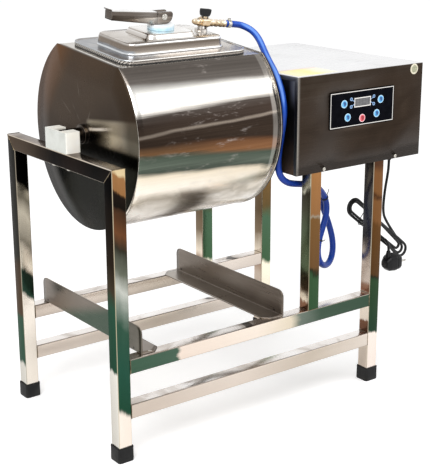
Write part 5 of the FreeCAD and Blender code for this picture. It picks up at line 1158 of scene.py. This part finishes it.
LID_SHEET = 2.0
FLANGE_TOP = SHELL_FLAT + GASKET_HEIGHT + LID_SHEET
STEP_TOP = FLANGE_TOP + 22.0
BOSS_TOP = STEP_TOP + 11.0
LID_ROWS = [(317, 224, 33, FLANGE_TOP - 2.4), (317, 224, 33, FLANGE_TOP),
            (308, 215, 29, FLANGE_TOP), (305, 212, 28, FLANGE_TOP - 1.2),
            (252, 148, 28, FLANGE_TOP - 1.2), (246, 142, 25, FLANGE_TOP + 1),
            (242, 138, 24, STEP_TOP), (124, 106, 19, STEP_TOP), (112, 94, 13, BOSS_TOP),
            (60, 44, 8, BOSS_TOP), (13, 13, 6.4, BOSS_TOP)]
LID_EASE = np.array([1.4, 1.6, 1.6, 3.0, 2.6, 7.0, 4.0, 4.0, 1.0])[:, None]


def on_lid(level):
    """Places a turned piece on the lid's own middle, upward from a level."""
    return standing("z", LID_PLACE, 0, level, base=on_drum)


pan = stacked(eased(LID_ROWS, LID_EASE, 6), on_lid(0), 10, caps=False)
thicken(piece("lid_pan_sheet", pan, lid_steel, "lid", "lever_steel", "lid_pan", crease=60), LID_SHEET)


# Washer: a thick ring, turned from white nylon. It lies on the lid's block, round the stem, and the
# lever's cam presses on it.

washer_white = Finish("washer_white", Roughness=0.3)
washer_low = washer_white.away(0, 0, AXIS_Z)[2].under(208, 222)
washer_white.give("Base Color", (washer_low * 0.6 + washer_white.noise(60, 2) * 0.35).ramp(
    "0.2 FAFCFD, 0.6 DDEFF8, 0.9 A9D8EF"))

WASHER = [(0, 6.2), (0, 28.4), (1, 29), (10.4, 29), (12, 27.2), (12, 6.2)]
piece("lid_washer_ring", turned(WASHER, 0.8, 64, on_lid(BOSS_TOP), hollow=True), washer_white,
      "clamp_washer", "white_nylon", "lid_washer")


# Clamp: a stem through the lid with a bar on its lower end, which grips under the mouth's edges, and the
# pressed sheet lever whose cam draws it up. A headed pin joins them.

PIVOT_UP = 236.3
LEVER_TAIL = -131.0
LEVER_TOP = 11.0
LEVER_HALF = 13.0
LEVER_BEND = 3.0
LEVER_SHEET = 2.5
LEVER_SLOT = -17.0
LEVER_RISE = 0.077
CAM_START = 3.8
CAM_REACH = 17.2
CROWN = 7.2

lever_steel = Finish("lever_steel", Metallic=1.0)
lever_grain = lever_steel.noise((8, 90, 260), 4, 0.6)
lever_along, _, lever_height = lever_steel.away(DRUM_X + LID_PLACE - 148, 0, AXIS_Z + 226)
# Painted reflections: the cheeks turn lighter and darker along the lever, a painted dark line runs below
# their top bend, and the top faces are painted white.
lever_side = (lever_along / 170 * 0.75 + (lever_grain - 0.5) * 0.35).ramp(
    "0 6E645B, 0.25 857B71, 0.5 BDB6AE, 0.64 837A71, 0.8 5A534C, 0.95 A9A299")
lever_rim = (lever_height.over(6.5, 9.5) * 0.75).mixed(lever_side, "4C4540")
lever_steel.give("Base Color", lever_steel.facing()[2].over(0.5, 0.9).mixed(
    lever_rim, lever_grain.ramp("0.3 E6E4E1, 0.6 FFFFFF")))
lever_steel.give("Roughness", lever_grain * 0.16 + 0.15)

softened("clamp_stem", 0.5, hub_steel, "clamp")
softened("clamp_bar", 1.2, seam_steel, "clamp")


def lever_low(x):
    """A cheek's lower edge: it deepens to the cam's heel and then rises round the cam."""
    slope = np.interp(x, (LEVER_TAIL, -24.0), (-8.0, -15.0))
    round_x = np.clip(x - CAM_START, 0, CAM_REACH)
    return slope + 18.0 * (1 - np.sqrt(1 - (round_x / CAM_REACH) ** 2))


def lever_up(x):
    """A cheek's upper edge: level, with a quarter circle at the head."""
    round_x = np.clip(x - (CAM_START + CAM_REACH - CROWN), 0, CROWN)
    return LEVER_TOP - CROWN + np.sqrt(CROWN ** 2 - round_x ** 2)


def on_lever(x, y, z):
    """Points given from the lever's pivot; the grip rises a little from it."""
    x, y, z = np.broadcast_arrays(x, y, z)
    return on_drum(LID_PLACE + x, y, PIVOT_UP + z + LEVER_RISE * np.maximum(-x - 12, 0))


grip_x = np.linspace(LEVER_TAIL, LEVER_SLOT, 24)[:, None]
quarter = np.linspace(0, np.pi / 2, 7)
bend_y = LEVER_HALF - LEVER_BEND + LEVER_BEND * np.cos(quarter)
bend_z = LEVER_TOP - LEVER_BEND + LEVER_BEND * np.sin(quarter)
grip_y = np.r_[-LEVER_HALF, -bend_y, bend_y[::-1], LEVER_HALF]
grip_top = np.tile(np.r_[bend_z, bend_z[::-1]], (24, 1))
grip = on_lever(grip_x, grip_y, np.hstack([lever_low(grip_x), grip_top, lever_low(grip_x)]))
head_x = np.r_[np.linspace(LEVER_SLOT, CAM_START, 8)[:-1],
               CAM_START + CAM_REACH * np.sin(np.linspace(0, np.pi / 2, 16))][:, None]
head_z = lever_low(head_x) + np.linspace(0, 1, 6) * (lever_up(head_x) - lever_low(head_x))
near_cheek = on_lever(head_x, -LEVER_HALF, head_z)
far_cheek = on_lever(head_x, LEVER_HALF, head_z[:, ::-1])
tail_y = np.linspace(-LEVER_HALF + 0.4, LEVER_HALF - 0.4, 6)[:, None]
tail_plate = on_lever(LEVER_TAIL, tail_y, np.linspace(-8.0, LEVER_TOP - 0.6, 5))
lip = on_lever(LEVER_TAIL + np.array((1.0, -0.5, -2.5, -4.5))[:, None],
               np.linspace(-LEVER_HALF + 1.5, LEVER_HALF - 1.5, 6),
               LEVER_TOP + np.array((0.0, 0.2, 1.0, 2.0))[:, None])
lever_parts = [grip[::-1], near_cheek[::-1], far_cheek[::-1], tail_plate, lip[::-1]]
thicken(piece("cam_lever_pressed", joined(*map(sheet, lever_parts)), lever_steel, "lever", "lever_steel",
              "cam_lever", closed=False), LEVER_SHEET)

pin_end = [(16.1, 0.05), (15.3, 1.4), (16.1, 2.4), (15.9, 4.6), (14.7, 6.6), (13.1, 7.0), (13.1, 4.0)]
pin_profile = [(-distance, radius) for distance, radius in pin_end] + pin_end[::-1]
pivot = standing("y", LID_PLACE, 0, PIVOT_UP, base=on_drum)
piece("lever_pin_headed", turned(pin_profile, 0.5, 36, pivot), pin_steel, "clamp", "fixing_steel",
      "lever_pin")


# Valve: brass elbow, hexagonal ball valve with a black butterfly handle, and a barb with the hose's end
# on it, held by an ear clamp.

brass = Finish("brass", Metallic=1.0)
_, brass_north, brass_above = brass.facing()
brass_cloud = brass.noise(70, 2, 0.5, 0.3)
# Painted light: faces turned up and to the front are lighter, from painted shade to a painted white
# highlight.
brass.give("Base Color", (brass_above * 0.34 + brass_north * -0.1 + (brass_cloud - 0.5) * 0.55 + 0.42).ramp(
    "0.08 3A2C20, 0.28 8A7354, 0.48 BFA888, 0.68 E6D6BE, 0.86 FFF8EE"))
brass.give("Roughness", brass_cloud * 0.1 + 0.16)
port_steel = grained("port_steel", 90, 3, "0.3 8A827A, 0.7 D9D4CE", Metallic=1.0, Roughness=0.28)
handle_black = grained("handle_black", 300, 3, "0.2 0A0A0B, 0.9 1E1F21", (0.15, 0.0004), Roughness=0.4,
                       Specular_IOR_Level=0.25)

ELBOW = [(-6.5, 0.1), (-6.5, 4.2), (0.5, 7.4), (8.4, 7.8), (8.4, 0.1)]
piece("vacuum_elbow_cast", turned(ELBOW, 1.2, 32, on_valve), brass, "lid", "brass", "vacuum_elbow")

PORT_PLACE = 17.0
PORT = [(-1, 0.1), (-1, 13.2), (0.2, 14), (3.2, 14), (4.4, 12.6), (4.6, 8.6), (12, 7.4), (12, 0.1)]
port_place = standing("z", VALVE_ALONG + PORT_PLACE, 0, STEP_TOP, base=on_drum)
piece("vacuum_port_nut", turned(PORT, 0.6, 40, port_place), port_steel, "lid", "fixing_steel")

BALL_PLACE = 24.0
VALVE = [(8.2, 0.1), (8.2, 9), (10.5, 9.4), (13.5, 8.6), (14, 12.4), (33.5, 12.4), (34, 8.6), (37.5, 9.4),
         (39.8, 9), (39.8, 0.1)]
NECK = [(8, 0.1), (8, 6.4), (11.4, 6.4), (11.4, 5.2), (12.6, 5.2), (12.6, 0.1)]
valve_body = turned(VALVE, 0.6, 48, on_valve, flats=11.0, pressed=(13.6, 33.9))
valve_neck = turned(NECK, 0.4, 28, standing("z", BALL_PLACE, 0, 0, base=on_valve))
piece("valve_body_cast", joined(valve_body, valve_neck), brass, "lid", "brass", "valve_body")
softened("valve_ball", 0.3, screw_steel, "valve_tap")


def on_handle(height, along, across):
    """Points over the valve's ball; the handle's middle has a waist, a smooth dip on both sides."""
    return on_valve(BALL_PLACE + along, across * (1 - 0.3 * np.exp(-(along / 4.2) ** 2)), height)


handle_rows = eased([(12.0, 6.0, 13.0), (19.0, 9.6, 13.0), (24.0, 9.8, 16.0), (27.0, 10.0, 21.0),
                     (27.4, 10.0, 28.0), (24.0, 8.6, 29.0)], 1.4)
handle = stacked([(length, thick, 2.4, height) for length, thick, height in handle_rows], on_handle, 10)
piece("valve_handle_wings", handle, handle_black, "valve_tap", "black_plastic", "valve_handle")

barb = [(39.9, 0.1), (39.9, 8.3)]
for place in (41.5, 53.5, 66.0):
    barb += [(place + 2.0, 8.5), (place + 6.0, 8.5), (place + 7.0, 6.2), (place + 10.0, 6.2)]
barb += [(78.0, 8.5), (82.0, 8.0), (84.0, 5.0), (101.9, 4.8), (101.9, 0.1)]
piece("hose_barb_turned", turned(barb, 0.5, 48, on_valve, flats=8.3, pressed=(41.0, 50.0)), brass, "lid",
      "brass", "hose_barb")

SLEEVE = [(84.2, 5.1), (84.2, 7.2), (84.9, 7.6), (87.6, 7.7), (88.4, 7.2), (97.6, 7.2), (98.4, 7.7),
          (101.5, 7.5), (102, 5.1)]
piece("hose_end_sleeve", turned(SLEEVE, 0.4, 40, on_valve, hollow=True), hose_blue, "lid", "hose_blue",
      "hose_end")

CLAMP = [(88.6, 7.5), (88.6, 8.6), (89.2, 9), (96.8, 9), (97.4, 8.6), (97.4, 7.5)]
clamp_band = turned(CLAMP, 0.3, 48, on_valve, hollow=True)
ear_rows = eased([(6.8, 4.2, 7.8), (6.8, 3.4, 9.6), (6.8, 3.2, 10.6), (7, 4.4, 12.2), (6.4, 3, 12.7)], 0.5)
clamp_ear = stacked([(length, width, 0.9, height) for length, width, height in ear_rows],
                    lambda height, along, across: on_valve(93 + along, across, height), 5)
piece("hose_clamp_ear", joined(clamp_band, clamp_ear), screw_steel, "lid", "clamp_silver", "hose_clamp")


# Control box's cover: one stainless sheet, bent over the front, top and back, with narrow edges that
# wrap round the sides. It has a window behind the key panel.

BOX_SIZE = BOX_HIGH - BOX_LOW
COVER_SHEET = 1.5
COVER_BEND = 2.6
COVER_WRAP = 10.0
PANEL_MIDDLE = (235.7, 678.0)
WINDOW = (182, 71)

cover_steel = Finish("cover_steel", Metallic=0.95)
cover_east, _, cover_above = cover_steel.facing()
cover_x, _, cover_z = cover_steel.away(*BOX_LOW)
cover_grain = cover_steel.noise((5, 60, 240), 4, 0.62)
cover_cloud = cover_steel.noise(8, 4, 0.55, 0.5)
# Painted reflections: the front is dark brown, lighter towards the top, the top is near white and the sides
# dark grey.
cover_rise = cover_z / BOX_SIZE[2]
cover_tone = (cover_cloud * 0.6 + cover_grain * 0.25 + cover_rise * 0.2 - cover_x / BOX_SIZE[0] * 0.06).ramp(
    "0.3 2B221B, 0.5 342A22, 0.7 3D342C, 0.9 4C443C")
# A painted highlight along the front's left bend.
cover_tone = (cover_x.under(1, 9) * 0.6).mixed(cover_tone, "A9A39B")
smear = cover_steel.noise((30, 30, 26), 5, 0.7, 0.5).over(0.6, 0.8)
smear_x, _, smear_z = cover_steel.away(*(BOX_LOW + (72, 0, 136)))
smear = smear * (smear_x * smear_x / 500 + smear_z * smear_z / 900).under(0, 1)
cover_tone = (smear * 0.45).mixed(cover_tone, "A58F74")
cover_top = (cover_cloud * 0.7 + cover_grain * 0.3).ramp("0.2 DCDCDC, 0.5 F0F0F1, 0.8 FAFAFA")
cover_side = (cover_rise * 0.85 + (cover_cloud - 0.5) * 0.25).ramp(
    "0 46494C, 0.3 1A2024, 0.6 15161A, 0.76 4A4B4E, 0.9 8A8B8D")
cover_tone = cover_above.over(0.4, 0.85).mixed(cover_tone, cover_top)
cover_steel.give("Base Color", sized(cover_east).over(0.4, 0.8).mixed(cover_tone, cover_side))
cover_steel.give("Roughness", cover_grain * 0.14 + 0.2 + sized(cover_east).over(0.1, 0.5) * 0.3)
cover_steel.bump(cover_cloud, 0.12, 0.003)


def cover_line(x, inset):
    """The cover's section at a place along the box: up its front, over the top and down its back."""
    front = BOX_LOW[1] + inset
    back = BOX_HIGH[1] - inset
    top = BOX_HIGH[2] - inset
    radius = max(COVER_BEND - inset, 0.4)
    near, far = radius - radius * np.cos(quarter), radius * np.sin(quarter)
    front_z = (BOX_LOW[2], PANEL_MIDDLE[1] - WINDOW[1] / 2, PANEL_MIDDLE[1] + WINDOW[1] / 2)
    line = np.vstack([np.c_[np.full(3, front), front_z], np.c_[front + near, top - radius + far],
                      np.c_[back - radius + far, top - near], [(back, BOX_LOW[2])]])
    return np.c_[np.full(len(line), x), line]


wrap_x = COVER_BEND - COVER_BEND * np.sin(quarter)
wrap_inset = COVER_BEND - COVER_BEND * np.cos(quarter)
left_rows = [(0.0, COVER_WRAP), *zip(wrap_x[::-1], wrap_inset[::-1])]
cover_rows = [(BOX_LOW[0] + x, inset) for x, inset in left_rows]
cover_rows += [(PANEL_MIDDLE[0] - WINDOW[0] / 2, 0.0), (PANEL_MIDDLE[0] + WINDOW[0] / 2, 0.0)]
cover_rows += [(BOX_HIGH[0] - x, inset) for x, inset in left_rows[::-1]]
cover_grid = np.array([cover_line(x, inset) for x, inset in cover_rows])
cover_points, cover_faces = sheet(cover_grid)
# The window is the one face left out, between the two rows at its sides.
del cover_faces[len(left_rows) * (cover_grid.shape[1] - 1) + 1]
cover = piece("box_cover_sheet", (cover_points, cover_faces), cover_steel, "frame_and_box", "box_steel",
              "box_cover", crease=35)
thicken(cover, COVER_SHEET)


# Chassis: the folded tray under the cover, with the box's two sides; screws join the two sheets. A
# round sticker is on the front, and a yellow label on the top.

chassis_steel = Finish("chassis_steel", Metallic=0.9)
_, chassis_y, chassis_z = chassis_steel.away(*BOX_LOW)
chassis_grain = chassis_steel.noise((60, 60, 5), 4, 0.6)
# Painted reflections: brown low down, dark in the middle and grey at the top, with a painted highlight near
# the front top corner.
chassis_tone = (chassis_z / BOX_SIZE[2] + (chassis_grain - 0.5) * 0.25).ramp(
    "0 5A4A3C, 0.22 3F342B, 0.42 1C1916, 0.6 121213, 0.8 1B1C1F, 0.95 2E3034")
chassis_highlight = chassis_y.under(12, 34) * chassis_z.over(140, 190)
chassis_steel.give("Base Color", (chassis_highlight * 0.7).mixed(chassis_tone, "8C8E92"))
chassis_steel.give("Roughness", chassis_grain * 0.15 + 0.42)
softened("box_chassis", 0.4, chassis_steel, "frame_and_box")

SCREW_HEAD = [(9, 0.05), (9, 2.2), (0, 2.2), (0, 4.6), (-0.9, 4.2), (-1.8, 2.6), (-1.9, 1.5),
              (-1.1, 0.9), (-1.1, 0.05)]
cover_heads = [turned(SCREW_HEAD, 0.3, 24, standing("y", BOX_LOW[0] + place, y, BOX_LOW[2] + 5.5, sign))
               for place in (81.0, 302.0) for y, sign in ((BOX_LOW[1], 1), (BOX_HIGH[1], -1))]
piece("cover_screw_heads", joined(*cover_heads), screw_steel, "frame_and_box", "fixing_steel",
      "cover_screws")

STICKER = BOX_LOW + (352, 0, 203.5)
STICKER_DISC = [(-0.1, 0.05), (-0.3, 0.5), (-0.3, 11.9), (-0.1, 12.2), (0.1, 12.2), (0.1, 0.05)]
sticker_cream = Finish("sticker_cream", Roughness=0.5)
sticker_x, _, sticker_z = sticker_cream.away(*STICKER)
sticker_cloud = sticker_cream.noise(220, 4, 0.6)
sticker_cream.give("Base Color", reach_of(sticker_x, sticker_z).over(8, 9).mixed(
    sticker_cloud.ramp("0.3 8A8B70, 0.7 B9B99E"), sticker_cloud.ramp("0.3 CFC8AC, 0.7 EDE7D2")))
piece("round_sticker", turned(STICKER_DISC, None, 48, standing("y", *STICKER)), sticker_cream,
      "frame_and_box", "black_plastic")

LABEL = (118, 84, 3)
LABEL_MIDDLE = (68, 52)
label_yellow = Finish("label_yellow", Roughness=0.45)
label_x, label_y, _ = label_yellow.away(*BOX_LOW)
label_tone = (label_yellow.noise(30, 3) * 0.3 + label_x.over(20, 120) * 0.7).ramp(
    "0.1 FBF3C4, 0.45 FAF3A6, 0.9 F8F6E6")
label_yellow.give("Base Color", label_y.over(84, 90).mixed(label_tone, "F3D9D2"))
label = stacked([(*LABEL, -0.1), (*LABEL, 0.25)], standing("z", *(BOX_LOW[:2] + LABEL_MIDDLE), BOX_HIGH[2]))
piece("top_label", label, label_yellow, "frame_and_box", "white_nylon")


# Key panel: a black film with a printed white border, a display window with a pale frame, four blue
# keys, a red one, and four small lights joined to the display by printed lines.

KEYS = [("upper_left", -55.7, 13), ("upper_right", 55.7, 13), ("lower_left", -44.5, -18),
        ("lower_right", 44.5, -18), ("middle", 0, -24)]
LIGHTS = [(-34.5, 21.7), (-34.5, 4.6), (34.5, 21.7), (34.5, 4.6)]
DISPLAY = (46, 17, 12.7)
BORDER = (95.2, 38.2)

panel_black = Finish("panel_black", Roughness=0.5, Specular_IOR_Level=0.02)
panel_x, _, panel_z = panel_black.away(PANEL_MIDDLE[0], 0, PANEL_MIDDLE[1])
panel_tone = panel_black.noise(90, 3).ramp("0.3 030409, 0.8 0A0B12")
border = line_at(greater(sized(panel_x) - BORDER[0], sized(panel_z) - BORDER[1]), 0, 0.75)
frame_line = line_at(greater(sized(panel_x) - DISPLAY[0] / 2, sized(panel_z - DISPLAY[2]) - DISPLAY[1] / 2),
                     1, 1.1)
for light_x, light_z in LIGHTS:
    slope = (light_z - DISPLAY[2]) / 10
    from_display = panel_x * math.copysign(1, light_x) - 23.5
    on_line = line_at(panel_z - DISPLAY[2] - from_display * slope * 0.62 - slope * 2.5, 0, 0.7)
    within = from_display.over(0, 0.5) * from_display.under(8, 8.6)
    mark = greater(on_line * within, line_at(reach_of(panel_x - light_x, panel_z - light_z), 3, 0.8))
    panel_tone = mark.mixed(panel_tone, "9FC4EE")
panel_black.give("Base Color", greater(border, frame_line).mixed(panel_tone, "F2EFEA"))
softened("key_panel", 0.3, panel_black, "frame_and_box", "_film")

display_grey = Finish("display_grey", Roughness=0.16, Coat_Weight=0.6)
display_x = display_grey.away(PANEL_MIDDLE[0], 0, 0)[0] / 9.6
digit_gap = sized(display_x.own("FRACT") - 0.5).over(0.3, 0.42)
display_tone = display_grey.noise((60, 60, 400), 3).ramp("0.3 4A4A4C, 0.8 6B6B6D")
display_grey.give("Base Color", (digit_gap * 0.35).mixed(display_tone, "2E2E30"))
softened("display_window", 0.3, display_grey, "frame_and_box", "_glass")

for name, x, z in KEYS:
    red = name == "middle"
    finish = Finish("key_print_" + name, Roughness=0.35)
    across, _, up = finish.away(PANEL_MIDDLE[0] + x, 0, PANEL_MIDDLE[1] + z)
    reach = reach_of(across, up)
    tone = finish.noise(260, 2).ramp("0.3 D23A48, 0.7 EE6C78" if red else "0.3 3E9FDC, 0.7 69BDEE")
    mark = line_at(reach, 3.2, 1.7, 0.5) * (across + up * 0.4).over(-3.4, -1.4)
    mark = greater(mark, line_at(reach, 0, 1.6, 0.5))
    tone = (mark * 0.95).mixed(tone, "8E1020" if red else "083478")
    finish.give("Base Color", line_at(reach, 8.3, 0.9).mixed(tone, "F9D2D6" if red else "BFE4FA"))
    softened("key_" + name, 0.25, finish, name + "_key", "_cap")

light_green = grained("light_green", 500, 1, "0.3 20406E, 0.8 4F86C8", Roughness=0.2)
softened("indicator_lights", 0.3, light_green, "frame_and_box", "_lens")


# Inside the box: the circuit board behind the keys, the cast gear motor on the drum's axis, and the
# vacuum pump on rubber feet with its hose.

board_green = grained("board_green", 70, 5, "0.35 0F4A2C, 0.6 1A6B40, 0.75 C9B27A", rough=0.7,
                      Roughness=0.4)
motor_grey = grained("motor_grey", 120, 4, "0.3 5B6670, 0.8 8A949C", (0.3, 0.0008), Metallic=0.3,
                     Roughness=0.5)
pump_dark = grained("pump_dark", 140, 4, "0.3 2B2D30, 0.8 4B4E52", (0.3, 0.0006), Metallic=0.4,
                    Roughness=0.45)
softened("control_board", 0.2, board_green, "frame_and_box")
softened("gear_motor", 1.2, motor_grey, "frame_and_box")
softened("vacuum_pump", 1.2, pump_dark, "frame_and_box")
softened("hose_fitting", 0.5, brass, "frame_and_box")

PUMP_HOSE_RADIUS = 6.0
PUMP_ROUTE = [(0.01, 4, -50), (0.06, 16, -18), (0.155, 37, 11), (0.3, 55, 34), (0.48, 57, 52),
              (0.67, 43, 62), (0.845, 21, 60), (0.967, 5, 45)]
STRAIGHT_UP = (0, 0, 22)
NIPPLE_TIP = BOX_LOW + (156, 113, 21.5)
INLET_TIP = BOX_LOW + (262, 358, 121.5)
way = (INLET_TIP - NIPPLE_TIP) * (1, 1, 0)
pump_points = [INLET_TIP + way * (share - 1) + (aside, 0, up) for share, aside, up in PUMP_ROUTE]
pump_points = np.array([NIPPLE_TIP, NIPPLE_TIP + STRAIGHT_UP, *pump_points, INLET_TIP + STRAIGHT_UP,
                        INLET_TIP])
pump_hose = cord_curve("pump_hose_braid", pump_points, PUMP_HOSE_RADIUS, hose_blue)
lay_cord(pump_hose, pump_points, PUMP_HOSE_RADIUS, "hose_blue", "object", "pump_hose")
